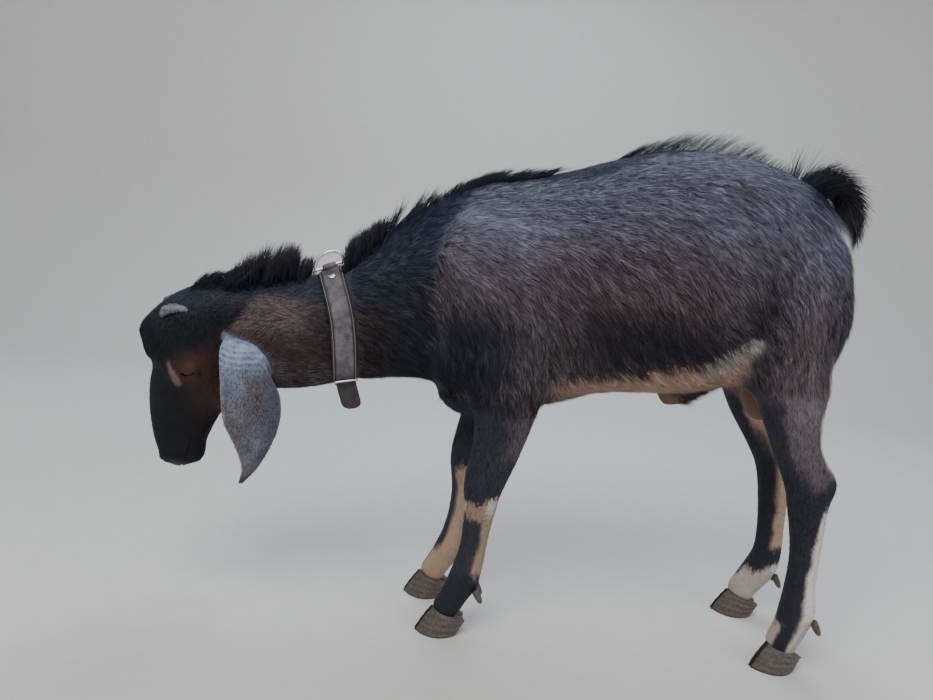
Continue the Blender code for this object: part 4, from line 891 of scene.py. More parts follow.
# Each finish: what makes it, and what that takes
FINISHES = {
    "skin": (skin_material,),
    "fur": (hair_material, "goat_fur", 0.56, 0.22, (0.78, 0.87, 1.0)),
    "long_hair": (hair_material, "goat_long_hair", 0.45, 0.38, (0.76, 0.86, 1.0)),
    "eye": (eye_material,),
    "bud": (horn_material, "horn_bud", (0.022, 0.021, 0.024), (0.20, 0.20, 0.225), 34.0, 0.55),
    "claw": (horn_material, "hoof_horn", (0.030, 0.024, 0.021), (0.13, 0.105, 0.088), 40.0, 0.42),
    "band": (leather_material, "collar_dark", (0.012, 0.010, 0.011), (0.052, 0.042, 0.042), 0.40),
    "strap": (leather_material, "collar_worn", (0.034, 0.028, 0.030), (0.20, 0.175, 0.19), 0.45),
    "steel": (steel_material,),
    "thread": (thread_material,),
}


def paint(name):
    """The named finish, made when it is first asked for."""
    if name not in MADE:
        maker, *values = FINISHES[name]
        MADE[name] = maker(*values)
    return MADE[name]


# Markings and lie of the coat

class Markings:
    """Tone and share of pale hairs at each point, laid on in one patch after another."""

    def __init__(self, tone, frost, within=1.0):
        self.tone, self.frost, self.within = tone, frost, within

    def lay(self, colour, mask, pale=None):
        mask = mask * self.within
        self.tone = blend(self.tone, colour, mask)
        if pale is not None:
            self.frost = self.frost + (pale - self.frost) * mask


def base_colours(points, normals, colours):
    """The coat's colour and its share of pale hairs at each point."""
    x, y, z = points.T
    ahead_way = normals[:, 0]
    outward = np.where(y < 0, -normals[:, 1], normals[:, 1])
    folded = points.copy()
    folded[:, 1] = -np.abs(y - np.where(x < -0.04, midline(x), 0))
    body, black, deep, white, tan, brown, belly = (np.array(getattr(colours, name)) for name in (
        "body", "black", "deep", "white", "tan", "brown", "belly"))
    marks = Markings(np.repeat(body[None], len(points), 0), np.full(len(points), 0.40))
    lay = marks.lay

    def spot(centre, radii, soft=0.6):
        return blob(folded, centre, radii, soft)

    # Trunk
    lay(body * 1.35, spot((0.020, -0.085, 0.505), (0.080, 0.060, 0.060)) * 0.8, 0.62)
    lay(body * 1.1, spot((0.36, -0.09, 0.48), (0.11, 0.06, 0.12)), 0.50)
    lay(body * (1.25, 0.92, 0.88), spot((0.18, -0.11, 0.475), (0.12, 0.05, 0.055), 0.7), 0.34)
    lay(deep, spot((0.222, -0.10, 0.414), (0.110, 0.070, 0.036), 0.75) * 0.92, 0.05)
    lay(deep, spot((0.350, -0.10, 0.430), (0.032, 0.060, 0.075), 0.75) * 0.85, 0.12)
    lay(body * 0.9, spot((0.090, -0.09, 0.385), (0.036, 0.050, 0.060), 0.6), 0.42)
    stripe = ramp(z - level(STRIPE_EDGE, x), -0.005, 0.005) * ramp(x, -0.06, -0.03)
    lay(black * 1.2, stripe, 0.03)
    # Neck, chest and upper arm
    lay(black * 1.4, ramp(level(NAPE_EDGE, z) - x, -0.008, 0.008), 0.05)
    lay(black * 1.4, spot((0.006, -0.085, 0.372), (0.052, 0.085, 0.060), 0.6), 0.06)
    near = ramp(x - level(NECK_FRONT, z), -0.006, 0.008) * ramp(outward, -0.2, 0.2)
    near = near * ramp(0.426 - z + 0.3 * (y > 0), -0.004, 0.012)
    lay(brown * 0.8, near * ramp(x, -0.170, -0.215) * ramp(z, 0.362, 0.392), 0.30)
    lay(brown * 0.50, near * ramp(x, -0.120, -0.190) * ramp(z, 0.392, 0.362), 0.12)
    lay(brown * 0.38, near * ramp(x, -0.075, -0.130) * ramp(x, -0.215, -0.170) * 0.75, 0.12)
    # Belly, flank fold and groin
    under = ramp(level(BELLY_EDGE, x) - z, -0.004, 0.008) * ramp(x, 0.085, 0.12)
    outer_thigh = ramp(x, 0.325, 0.350) * ramp(outward, -0.25, 0.15)
    under = under * ramp(z, 0.28, 0.31) * (1 - outer_thigh)
    lay(belly, under, 0.10)
    away = from_line(folded[:, (0, 2)], (0.292, 0.388), (0.340, 0.420))[0]
    lay(white * 0.62, ramp(away, 0.016, 0.004) * ramp(folded[:, 1], -0.02, -0.05), 0.3)
    lay(brown * 0.9, spot((0.292, 0.0, 0.336), (0.048, 0.034, 0.040), 0.35), 0.05)
    lay(brown * 0.35, spot((0.266, 0.0, 0.325), (0.014, 0.014, 0.013), 0.8), 0.02)
    # Rump and thigh
    lay(body * (1.3, 1.05, 1.0), spot((0.418, -0.10, 0.405), (0.050, 0.060, 0.090), 0.5), 0.62)
    lay(black * 1.6, spot((0.440, -0.09, 0.455), (0.020, 0.060, 0.050), 0.8) * 0.7, 0.25)
    edge = ramp(ahead_way, 0.25, 0.55) * ramp(np.abs(y), 0.066, 0.054) * ramp(z, 0.572, 0.560)
    lay(white, edge * ramp(z, 0.47, 0.51) * ramp(x, 0.425, 0.440), 0.3)
    rear_line = ramp(ahead_way, 0.70, 0.90) * ramp(x, 0.42, 0.44)
    lay(white * 0.8, rear_line * ramp(z, 0.51, 0.48) * ramp(z, 0.27, 0.30), 0.3)
    lay(black, ramp(x, 0.392, 0.410) * ramp(z, 0.590, 0.600), 0.02)
    # Legs
    fore = ramp(x, 0.16, 0.12)
    hind = ramp(x, 0.310, 0.330)
    inner = ramp(outward, 0.05, -0.25)
    lay(black * 1.4, ramp(z, 0.335, 0.295) * fore, 0.08)
    behind = ramp(ahead_way, -0.05, 0.45)
    lay(body * 0.8, fore * behind * ramp(z, 0.36, 0.33) * ramp(z, 0.225, 0.26), 0.35)
    lay(tan, fore * inner * ramp(z, 0.206, 0.196) * ramp(ahead_way, -0.72, -0.35), 0.15)
    band = ramp(z - 0.10 * (x - 0.035), 0.190, 0.183) * fore * (y < 0)
    band = band * ramp(z + 0.2 * (x - 0.035), 0.160, 0.170)
    lay(tan * 0.8, band, 0.15)
    lay(white * 0.8, band * ramp(ahead_way, 0.15, 0.5) * ramp(ahead_way, 0.95, 0.7), 0.2)
    lay(white * 0.7, band * ramp(ahead_way, -0.7, -0.9), 0.2)
    behind = ramp(ahead_way, 0.05, 0.30)
    lay(tan * 0.85, fore * behind * ramp(z, 0.178, 0.165) * ramp(z, 0.066, 0.078), 0.15)
    lay(black * 1.3, hind * ramp(z, 0.400, 0.330) * ramp(ahead_way, -0.25, -0.60), 0.10)
    lay(black * 1.3, hind * ramp(z, 0.292, 0.246) * ramp(ahead_way, 0.15, -0.15), 0.06)
    lay(black, hind * ramp(z, 0.262, 0.240), 0.04)
    behind = ramp(ahead_way, 0.62, 0.85)
    lay(white, hind * behind * ramp(z, 0.36, 0.33) * ramp(z, 0.262, 0.272), 0.2)
    behind = ramp(ahead_way, 0.25, 0.6)
    lay(black, hind * behind * ramp(z, 0.268, 0.258) * ramp(z, 0.212, 0.222), 0.03)
    back_edge = level(((0.03, -0.1), (0.10, -0.1), (0.16, 0.05), (0.23, 0.35)), z)
    lay(white, hind * ramp(ahead_way - back_edge, -0.05, 0.22) * ramp(z, 0.228, 0.210), 0.08)
    behind = ramp(ahead_way, -0.25, 0.10)
    lay(tan * 1.1, hind * inner * behind * ramp(z, 0.36, 0.31) * ramp(z, 0.090, 0.100), 0.20)
    groin = ramp(outward, 0.0, -0.4) * ramp(x, 0.31, 0.34)
    lay(belly * 0.8, groin * ramp(z, 0.44, 0.42) * ramp(z, 0.33, 0.37), 0.1)
    sloping = z - 0.35 * (x - 0.46)
    lay(black, hind * inner * ramp(sloping, 0.106, 0.097) * ramp(sloping, 0.072, 0.082), 0.04)
    pastern = hind * ramp(z, 0.078, 0.068)
    lay(white * (0.66, 0.60, 0.58), pastern * np.maximum(inner, ramp(ahead_way, 0.02, 0.2)), 0.08)
    front = ramp(ahead_way, -0.72, -0.85) * ramp(z, 0.066, 0.056)
    lay(white * (0.60, 0.54, 0.52), pastern * front, 0.1)
    lay(black, fore * ramp(z, 0.090, 0.080) * (1 - inner), 0.03)
    lay(tan, fore * inner * ramp(z, 0.078, 0.070) * ramp(z, 0.028, 0.038), 0.15)
    return marks.tone, np.clip(marks.frost, 0, 1)


def head_colours(points, tone, frost, colours):
    """The face over the base: black, with a red-brown cheek and a tan stripe before each eye."""
    u, v, w = head_coordinates(points)
    local = np.stack([u, v, np.abs(w)], 1)
    here = ramp(u, -0.045, -0.020) * ramp(np.abs(w), 0.078, 0.068)
    marks = Markings(tone, frost, here * ramp(v - level(FACE_EDGE, u), -0.005, 0.005))
    lay = marks.lay
    black, cheek, tan = (np.array(getattr(colours, name)) for name in ("black", "cheek", "tan"))

    def spot(centre, radii, soft):
        return blob(local, centre, radii, soft)

    lay(black * (0.22, 0.21, 0.22), ramp(u - 0.5 * v, 0.0, 0.03), 0.02)
    lay(cheek * (0.55, 0.44, 0.44), spot((0.112, -0.036, 0.040), (0.046, 0.034, 0.034), 0.7), 0.12)
    lay(cheek * (0.55, 0.45, 0.45), spot((0.070, -0.038, 0.050), (0.026, 0.026, 0.028), 0.8), 0.12)
    round_eye = spot((EYE[0] - 0.002, EYE[1] - 0.004, 0.050), (0.021, 0.022, 0.02), 0.6)
    lay(cheek * (0.70, 0.55, 0.55), round_eye, 0.04)
    away, share = from_line(local[:, :2], (0.090, 0.031), (0.112, 0.016))
    stripe = ramp(away + 0.0016 * (share < 0.3), 0.0062, 0.0012) * ramp(np.abs(w), 0.018, 0.024)
    lay(tan * (0.42, 0.36, 0.38), stripe, 0.25)
    lay((0.045, 0.040, 0.042), spot((0.238, 0.002, 0.0), (0.020, 0.020, 0.030), 0.5), 0.10)
    return marks.tone, marks.frost


def ear_colours(share, across, inside, chance, colours):
    """The ear's tone by its share from root to tip, by -1 to 1 across it, and inside it."""
    pale, grey = np.array(colours.ear_pale), np.array(colours.ear_grey)
    rear = ramp(across, 0.15, 0.60) * ramp(share, 0.26, 0.42)
    patches = (
        (grey, ramp(share + 0.06 * across, 0.24, 0.42)),
        # The warm middle, the pale front and lower vein, and the cool rear
        (grey * (1.05, 0.88, 0.86) * 0.75, ramp(np.abs(across - 0.05), 0.45, 0.15)
         * ramp(share, 0.30, 0.42) * ramp(share, 0.75, 0.6)),
        (pale * 0.72, ramp(across, 0.0, -0.35) * ramp(share, 0.22, 0.32)
         * ramp(share, 0.58, 0.40) * 0.7),
        (pale * 0.50, ramp(np.abs(across + 0.02), 0.35, 0.10) * ramp(share, 0.55, 0.66)
         * ramp(share, 0.92, 0.80) * 0.55),
        (grey * (0.74, 0.78, 0.98), rear),
        # The rims at the back and front, the tip, and the bare inner face
        (pale * 0.75, ramp(across, 0.90, 0.98) * ramp(share, 0.15, 0.3)
         * ramp(share, 0.75, 0.6) * 0.7),
        ((0.34, 0.26, 0.25), ramp(across, -0.86, -0.96) * ramp(share, 0.22, 0.35) * 0.6),
        (grey * 0.5, ramp(share, 0.90, 0.99)),
        (colours.ear_inner, inside * 0.8),
    )
    tone = np.repeat(pale[None], len(share), 0)
    for colour, mask in patches:
        tone = blend(tone, colour, mask)
    some = ramp(share, 0.18, 0.34) * (0.60 - 0.35 * rear)
    return tone, chance.random(len(share)) < some


def comb(points, normals):
    """The way that the hair runs along the surface at each point."""
    places, ways = np.array(LIE).transpose(1, 0, 2)
    ways = unit(ways)
    mirror = np.array((1, -1, 1))
    places = np.vstack([places, places * mirror])
    ways = np.vstack([ways, ways * mirror])
    found = np.zeros_like(points)
    for start in range(0, len(points), COMB_BATCH):
        part = points[start:start + COMB_BATCH]
        reach = ((part[:, None] - places[None]) ** 2).sum(2)
        found[start:start + COMB_BATCH] = 1 / (reach + LIE_BLUR ** 2) ** 2 @ ways
    u, v, _ = head_coordinates(points)
    face = ramp(u, -0.01, 0.04) * ramp(v, -0.10, -0.075)
    toward_poll = np.array(head_direction(-1.0, 0.10, 0.0))
    cheek = np.array(head_direction(-0.7, -0.55, 0.0))
    lower = ramp(v, 0.0, -0.03)[:, None]
    ways = unit(toward_poll * (1 - lower) + cheek * lower)
    found = unit(found) * (1 - face)[:, None] + ways * face[:, None]
    found = found - normals * (found * normals).sum(1, keepdims=True)
    return unit(found)


# Skin

def leg_rows(name):
    rows, side, foot, root, _ = LEGS[name]
    top, bottom = rows[0][1], rows[-1][1]
    made = []
    for x, z, width, front, back in rows:
        share = min(1, (top - z) / (top - bottom) * 1.5)
        made.append((x, side * (root + (foot - root) * share), z, width, front, back, 0.0, 2.1))
    return made


def body_forms(bm):
    loft(bm, TRUNK, 28)
    loft(bm, NECK, 24)
    for name in LEGS:
        loft(bm, leg_rows(name), 16)
    masses = [(x, -side * y, *rest) for x, y, *rest in MASSES.values() for side in (-1, 1)]
    for x, y, z, a, b, c, turn in (*masses, *HOCK_POINTS.values()):
        turned = Matrix.Rotation(math.radians(turn), 4, "Y")
        ball(bm, Matrix.Translation((x, y, z)) @ turned, (a, b, c))
    bmesh.ops.recalc_face_normals(bm, faces=bm.faces)


def head_forms(bm):
    frame_now = head_frame()
    rings = []
    rows = [(v, 0, u, w, up, down, pear, square) for u, v, w, up, down, pear, square in SKULL]
    for row in catmull(rows, 4):
        ring = ring_points(Vector(row[:3]), Vector((0, 1, 0)), Vector((1, 0, 0)), row[3:], 24)
        rings.append([frame_now @ p for p in ring])
    bridge_rings(bm, rings)
    for u, v, w, a, b, c in HEAD_MASSES.values():
        for side in (-1, 1):
            ball(bm, frame_now @ Matrix.Translation((v, side * w, u)), (b, c, a), 16, 10)


def ear_surface(side, row, s, depth):
    """A point of the ear: s from the front edge (-1) to the back, depth inwards."""
    u, v, w, half, curl, twist, thick = row
    radius = half / math.sin(min(curl, math.pi / 2))
    angle = s * curl
    turn = math.radians(twist)
    edge = thick * (0.35 + 0.65 * math.sqrt(max(0.0, 1 - s * s)))
    reach = radius - depth * edge
    back, out = math.sin(angle) * reach, math.cos(angle) * reach - radius
    dv = -(back * math.cos(turn) + out * math.sin(turn))
    dw = out * math.cos(turn) - back * math.sin(turn)
    return head_point(u, v + dv, side * (w + dw))


EAR_ACROSS = [math.sin(math.pi / 2 * (k / 12 - 1)) for k in range(25)]
EAR_ROWS = catmull(EAR, 9)


def ear_form(side, depth=0.0):
    """One ear as a thin rolled leaf, its faces drawn in by the depth."""
    bm = bmesh.new()
    rings = []
    for row in EAR_ROWS:
        share = depth / row[6]
        along = len(rings) / (len(EAR_ROWS) - 1)
        gathered = float(ramp(along, 0.06, 0.12) * ramp(along, 0.36, 0.24))
        veins = float(ramp(along, 0.30, 0.45) * ramp(along, 0.95, 0.80))
        outer = []
        for s in EAR_ACROSS:
            fold = math.sin(along * 150 + 1.6 * math.sin(s * 3.1)) * 0.10 * gathered
            vein = abs(math.sin(s * 4.2 + along * 2.6)) ** 6 * 0.09 * veins
            outer.append(ear_surface(side, row, s * 0.985, share - fold - vein))
        inner = [ear_surface(side, row, s * 0.985, 1 - share) for s in reversed(EAR_ACROSS)]
        rings.append(outer + inner)
    bridge_rings(bm, rings)
    return bm


def ear_rim(side):
    """The thick fold along the back edge at the ear's root."""
    last = len(EAR_ROWS) - 1
    path, radii = [], []
    for k in range(25):
        t = k / 24
        row = EAR_ROWS[round((0.05 + 0.37 * t) * last)]
        path.append(ear_surface(side, row, 0.93, 0.25))
        radii.append(0.0008 + 0.0030 * math.sin(math.pi * min(1, t * 1.02)) ** 0.8)
    return tube(path, radii, 12)


def add_tail_and_scrotum(bm):
    loft(bm, [(*row, 0.0, 2.0) for row in TAIL], 16, 4)
    x, y, z, a, b, c = SCROTUM
    ball(bm, Matrix.Translation((x, y, z)), (a, b, c), 24, 16)
    bmesh.ops.recalc_face_normals(bm, faces=bm.faces)


def on_face(bm):
    """Whether each vertex lies on the face or an ear's root."""
    u, v, w = head_coordinates(np.array([vert.co for vert in bm.verts]))
    return (u > 0.0) & (u < 0.26) & (v > -0.10) & (np.abs(w) < 0.07)


def refine_head(obj):
    """Splits the faces of head and ear roots, so that lids and lips are fine, and smooths them."""
    bm = bmesh.new()
    bm.from_mesh(obj.data)
    chosen = on_face(bm)
    bm.verts.ensure_lookup_table()
    edges = [e for e in bm.edges if chosen[e.verts[0].index] and chosen[e.verts[1].index]]
    bmesh.ops.subdivide_edges(bm, edges=edges, cuts=1, use_grid_fill=True)
    smooth_verts(bm, [vert for vert, keep in zip(bm.verts, on_face(bm)) if keep], 3)
    bmesh.ops.triangulate(bm, faces=bm.faces)
    bm.to_mesh(obj.data)
    bm.free()


def surface_of(obj):
    """The object's surface, for finding places on it."""
    return BVHTree.FromPolygons([v.co for v in obj.data.vertices],
                                [p.vertices[:] for p in obj.data.polygons])


def on_surface(surface, start, direction, reach=0.4):
    """The outermost place where a line from the start leaves the surface."""
    far = start + direction.normalized() * reach
    place = surface.ray_cast(far, -direction.normalized(), reach)[0]
    return place or start


def eye_axes(side):
    look = head_direction(EYE_LOOK[0], EYE_LOOK[1], side * EYE_LOOK[2])
    slit = head_direction(*EYE_SLIT)
    slit = (slit - look * slit.dot(look)).normalized()
    return slit, look.cross(slit).normalized(), look


def soften(obj, centre, inner, outer, rounds):
    """Smooths the mesh in a shell round a point, where two forms meet."""
    bm = bmesh.new()
    bm.from_mesh(obj.data)
    smooth_verts(bm, [v for v in bm.verts if inner < (v.co - centre).length < outer], rounds)
    bm.to_mesh(obj.data)
    bm.free()


def tube(points, radius, sides=12, closed=False):
    """A round bar along the points. radius may be a list, one for each point."""
    bm = bmesh.new()
    points = [Vector(p) for p in points]
    count = len(points)
    radii = radius if isinstance(radius, (list, tuple)) else [radius] * count
    middle = sum(points, Vector()) / count
    rings = []
    for i, p in enumerate(points):
        before = points[i - 1] if closed or i else p
        after = points[(i + 1) % count] if closed or i < count - 1 else p
        ahead = (after - before).normalized()
        out = (p - middle) - ahead * (p - middle).dot(ahead)
        out = out.normalized() if out.length > 1e-6 else ahead.orthogonal().normalized()
        side = ahead.cross(out).normalized()
        rings.append([p + (out * math.cos(a) + side * math.sin(a)) * radii[i]
                      for a in around(sides)])
    bridge_rings(bm, rings, closed)
    return bm


def fold_lids(skin):
    """Creases round each eye, deepest above and behind it, and a soft hollow in front."""
    points = places_of(skin.data)
    normals = normals_of(skin.data)
    sink = np.zeros(len(points))
    for side in (1, -1):
        centre = eye_centre(side)
        slit, across, look = (np.array(axis) for axis in eye_axes(side))
        apart = points - np.array(centre)
        a, b, out = apart @ slit, apart @ across, apart @ look
        from_eye = np.hypot(a, b * 1.25)
        angle = np.arctan2(b, a)
        facing = ramp(out, 0.0, 0.006)
        for reach, depth in ((0.0118, 0.0010), (0.0160, 0.0009), (0.0205, 0.0007)):
            wave = reach * (1 + 0.06 * np.sin(3 * angle + reach * 900))
            strength = 0.55 + 0.45 * np.cos(angle * 2 + 0.6)
            sink += facing * depth * strength * np.exp(-((from_eye - wave) / 0.0013) ** 2)
    moved = points - normals * sink[:, None]
    skin.data.vertices.foreach_set("co", moved.astype(np.float32).ravel())
    skin.data.update()


def cut_face(skin):
    """Lids round each eye with a narrow slit, the line of the mouth and the nostrils."""
    for side in (1, -1):
        centre = eye_centre(side)
        place = axes_place(centre, *eye_axes(side))
        lids = bmesh.new()
        ball(lids, place, (EYE_RADIUS + LID,) * 3, 48, 32)
        combine(skin, add_object("lids", lids), "UNION")
        soften(skin, centre, EYE_RADIUS + LID - 0.0012, EYE_RADIUS + LID + 0.004, 6)
        socket, slit = bmesh.new(), bmesh.new()
        ball(socket, place, (EYE_RADIUS + 2 * GAP,) * 3, 48, 32)
        ball(slit, place @ Matrix.Translation((0, 0, EYE_RADIUS)),
             (SLIT_LENGTH / 2, SLIT_HEIGHT / 2, EYE_RADIUS * 0.7), 40, 20)
        combine(skin, add_object("socket", socket), "DIFFERENCE")
        combine(skin, add_object("slit", slit), "DIFFERENCE")
    fold_lids(skin)
    middle = head_point(MOUTH_CORNER + 0.018, MOUTH_LEVEL, 0)
    points, face = [], surface_of(skin)
    for k in range(41):
        angle = math.pi * (k / 40 - 0.5) * 1.12
        forward = head_direction(math.cos(angle), MOUTH_RISE * math.cos(angle), math.sin(angle))
        points.append(on_surface(face, middle, forward, 0.08))
    combine(skin, add_object("mouth_line", tube(points, MOUTH_RADIUS)), "DIFFERENCE")
    for side in (-1, 1):
        u, v, w = NOSTRIL
        place = head_frame() @ Matrix.Translation((v, side * w, u))
        place = place @ Matrix.Rotation(side * NOSTRIL_TURN, 4, "X")
        place = place @ Matrix.Rotation(NOSTRIL_LEAN, 4, "Y")
        hollow = bmesh.new()
        ball(hollow, place, (NOSTRIL_RADII[1], NOSTRIL_RADII[2], NOSTRIL_RADII[0]), 28, 16)
        bmesh.ops.recalc_face_normals(hollow, faces=hollow.faces)
        combine(skin, add_object("nostril", hollow), "DIFFERENCE")


def build_skin(coat):
    """One closed skin over head, ears, neck, trunk, tail and legs, the coat's depth inside."""
    bm = bmesh.new()
    body_forms(bm)
    body = add_object("body_form", bm)
    regrain(body, VOXEL, BODY_SMOOTHING)
    bm = forms_of(body)
    loft(bm, SHEATH, 16)
    head_forms(bm)
    flesh = add_object("flesh_form", bm)
    regrain(flesh, VOXEL, HEAD_SMOOTHING)
    bm = forms_of(flesh)
    add_tail_and_scrotum(bm)
    skin = add_object("goat_skin", bm)
    regrain(skin, FINE_VOXEL, FINE_SMOOTHING)
    MADE["outside"] = surface_of(skin)
    sink = skin.modifiers.new("depth", "DISPLACE")
    sink.strength, sink.mid_level = -coat.depth, 0
    apply_modifiers(skin)
    refine_head(skin)
    for side in (1, -1):
        combine(skin, add_object("ear_form", ear_form(side, 0.0004)), "UNION")
        combine(skin, add_object("ear_rim", ear_rim(side)), "UNION")
    cut_face(skin)
    trim_feet(skin)
    return skin


def foot_place(leg):
    """The middle of the foot on the floor."""
    rows, side, foot, _, _ = LEGS[leg]
    return Vector((rows[-1][0] - 0.004, side * foot, 0))


def trim_feet(skin):
    """Cuts each leg at its sloping coronet, above the claws."""
    for name, (_, _, _, _, turn) in LEGS.items():
        place = foot_place(name)
        slope = Matrix.Rotation(turn, 3, "Z") @ Vector((CORONET_SLOPE, 0, 1)).normalized()
        turned = (-slope).to_track_quat("Z", "Y").to_matrix().to_4x4()
        bm = bmesh.new()
        size = Matrix.Diagonal((0.09, 0.09, 0.06, 1)) @ Matrix.Translation((0, 0, 0.5))
        bmesh.ops.create_cube(bm, size=1, matrix=Matrix.Translation(
            place + UP * (CORONET - 0.002)) @ turned @ size)
        combine(skin, add_object("under_" + name, bm), "DIFFERENCE")


def ear_place(points, side):
    """Share from root to tip, -1 to 1 across, and whether each point is on the ear's inner face."""
    flat, outer = (np.array([ear_surface(side, row, s, depth) for row in EAR_ROWS
                             for s in EAR_ACROSS]) for depth in (0.5, 0.0))
    face = unit(outer - flat)
    share = np.empty(len(points))
    across, inside, away = share.copy(), share.copy(), share.copy()
    for i, p in enumerate(points):
        reach = ((flat - p) ** 2).sum(1)
        best = int(reach.argmin())
        share[i] = best // len(EAR_ACROSS) / (len(EAR_ROWS) - 1)
        across[i] = EAR_ACROSS[best % len(EAR_ACROSS)]
        inside[i] = float((p - flat[best]) @ face[best] < 0)
        away[i] = math.sqrt(reach[best])
    return share, across, inside, away


# Coat

PATCH = 0.0015      # half the width of one hair's patch on the unwrap
TUFT_FACES = ((0, 1, 2), (0, 3, 1), (0, 2, 3), (1, 3, 2))
TUFT_PATCH = ((-PATCH, -PATCH), (PATCH, -PATCH), (0.0, -0.0005), (0.0, PATCH))
# A hair is four rings of three corners and a tip
HAIR_STEPS, HAIR_TAPER = np.array((-0.06, 0.30, 0.62, 0.86)), (1.0, 0.92, 0.68, 0.40)
HAIR_FACES = tuple(
    face for low in (0, 3, 6) for k in range(3) for step in ((k + 1) % 3,)
    for face in ((low + k, low + step, low + 3 + step), (low + k, low + 3 + step, low + 3 + k))
) + tuple((9 + k, 9 + (k + 1) % 3, 12) for k in range(3)) + ((2, 1, 0),)
HAIR_PATCH = tuple((PATCH * math.cos(2.1 * k) * (1 - ring / 5),
                    PATCH * math.sin(2.1 * k) * (1 - ring / 5) + 0.0002 * ring)
                   for ring in range(4) for k in range(3)) + ((0.0, PATCH),)


def lattice(points, cell, seed):
    """Smooth random values from 0 to 1, one draw for each corner of a grid of cells."""
    spot = points / cell + seed * 7.31
    base = np.floor(spot).astype(np.int64)
    part = spot - base
    part = part * part * (3 - 2 * part)
    total = np.zeros(len(points))
    for corner in range(8):
        step = np.array((corner & 1, corner >> 1 & 1, corner >> 2))
        key = ((base + step) * np.array((73856093, 19349663, 83492791))).sum(1) + seed * 9176
        key = (key ^ (key >> 13)) * 1274126177
        draw = ((key ^ (key >> 16)) & 0xFFFFF) / 0xFFFFF
        share = np.where(step, part, 1 - part).prod(1)
        total += draw * share
    return total


def streaks(points, ways, cell, length, seed):
    """Values that run in lines along the hair: the mean of the grid's values over a short run."""
    steps = np.linspace(-0.5, 0.5, 7) * length
    total = sum(lattice(points + ways * step, cell, seed) for step in steps) / len(steps)
    return np.clip(0.5 + (total - 0.5) * 2.6, 0, 1)


def triangles(mesh):
    """Each triangle's corners, their places and its area."""
    mesh.calc_loop_triangles()
    corners = np.empty(len(mesh.loop_triangles) * 3, np.int32)
    mesh.loop_triangles.foreach_get("vertices", corners)
    corners = corners.reshape(-1, 3)
    points = places_of(mesh)
    edges = points[corners[:, 1:]] - points[corners[:, :1]]
    return corners, points, np.linalg.norm(np.cross(edges[:, 0], edges[:, 1]), axis=1) / 2


def scatter(chosen, count, chance):
    """Random places on the chosen triangles, evenly over their area, with the surface's normals."""
    corners, points, areas = MADE["triangles"]
    weight = np.cumsum(areas * chosen)
    picked = np.searchsorted(weight, chance.random(count) * weight[-1])
    picked = np.minimum(picked, len(areas) - 1)
    a, b = chance.random(count), chance.random(count)
    over = a + b > 1
    a[over], b[over] = 1 - a[over], 1 - b[over]
    shares = np.stack([1 - a - b, a, b], 1)[:, :, None]
    mine = corners[picked]
    return (points[mine] * shares).sum(1), unit((MADE["normals"][mine] * shares).sum(1))


def tufts(name, roots, normals, ways, lengths, widths, lifts, tones, patches, material):
    """Thin closed wedges that lie along the surface from their sunk roots."""
    side = unit(np.cross(ways, normals))
    sunk = roots - normals * 0.0005
    half = side * widths[:, None] / 2
    rise = np.sin(lifts) * lengths
    tip = roots + ways * (np.cos(lifts) * lengths)[:, None] + normals * (rise - 0.0002)[:, None]
    ridge = sunk + normals * (widths * 0.45 + 0.0002)[:, None] + ways * (lengths * 0.18)[:, None]
    points = np.stack([sunk - half, sunk + half, ridge, tip], 1)
    shade = np.array((0.70, 0.70, 0.95, 1.18))[None, :, None]
    colours = np.clip(tones[:, None] * shade, 0, 1)
    return batch(name, points, TUFT_FACES, colours, patches, TUFT_PATCH, material)


def hairs(name, roots, ways, bends, lengths, widths, tones, tips, patches, material):
    """Long tapered hairs that leave their roots along ways and bend over."""
    across = unit(np.cross(ways, np.array((0.13, 0.31, 0.94))))
    other = np.cross(ways, across)
    rings = []
    for t, grow in zip(HAIR_STEPS, HAIR_TAPER):
        centre = roots + ways * (lengths * t)[:, None] + bends * (lengths * max(t, 0) ** 2)[:, None]
        for angle in around(3):
            out = across * math.cos(angle) + other * (math.sin(angle) * 0.6)
            rings.append(centre + out * (widths * grow / 2)[:, None])
    rings.append(roots + (ways + bends) * lengths[:, None])
    points = np.stack(rings, 1)
    share = np.repeat(np.append(np.maximum(HAIR_STEPS, 0), 1.0), (3, 3, 3, 3, 1)) ** 2.6
    colours = tones[:, None] + (tips - tones)[:, None] * share[None, :, None]
    return batch(name, points, HAIR_FACES, np.clip(colours, 0, 1), patches, HAIR_PATCH, material)


def coat_regions(points, seats):
    """Which ear, head, leg or trunk each place belongs to: 0 trunk, 1 leg, 2 head, 3 and 4 ears."""
    u, v, w = head_coordinates(points)
    region = np.zeros(len(points), int)
    region[(u > -0.006) & (v > -0.088) & (np.abs(w) < 0.068) & (u > -0.4 * (v + 0.03))] = 2
    x, z = points[:, 0], points[:, 2]
    region[(x < MIDDLE) & (x > -0.06) & (z < 0.315)] = 1
    region[(x > 0.33) & (z < 0.375)] = 1
    for side, (share, _, _, away) in seats.items():
        region[(away < 0.0045) & (share > 0.10)] = 3 if side > 0 else 4
    return region


def near_ears(points):
    """For each side, the ear's coordinates of the points, with those far from it left out."""
    found = {}
    u, v, w = head_coordinates(points)
    for side in (1, -1):
        near = (w * side > 0.028) & (u > 0.015) & (u < 0.25) & (v < -0.015) & (v > -0.14)
        share, across, inside, away = np.zeros((4, len(points)))
        away[:] = 1.0
        where = np.flatnonzero(near)
        for start in range(0, len(where), 4000):
            part = where[start:start + 4000]
            share[part], across[part], inside[part], away[part] = ear_place(points[part], side)
        found[side] = (share, across, inside, away)
    return found


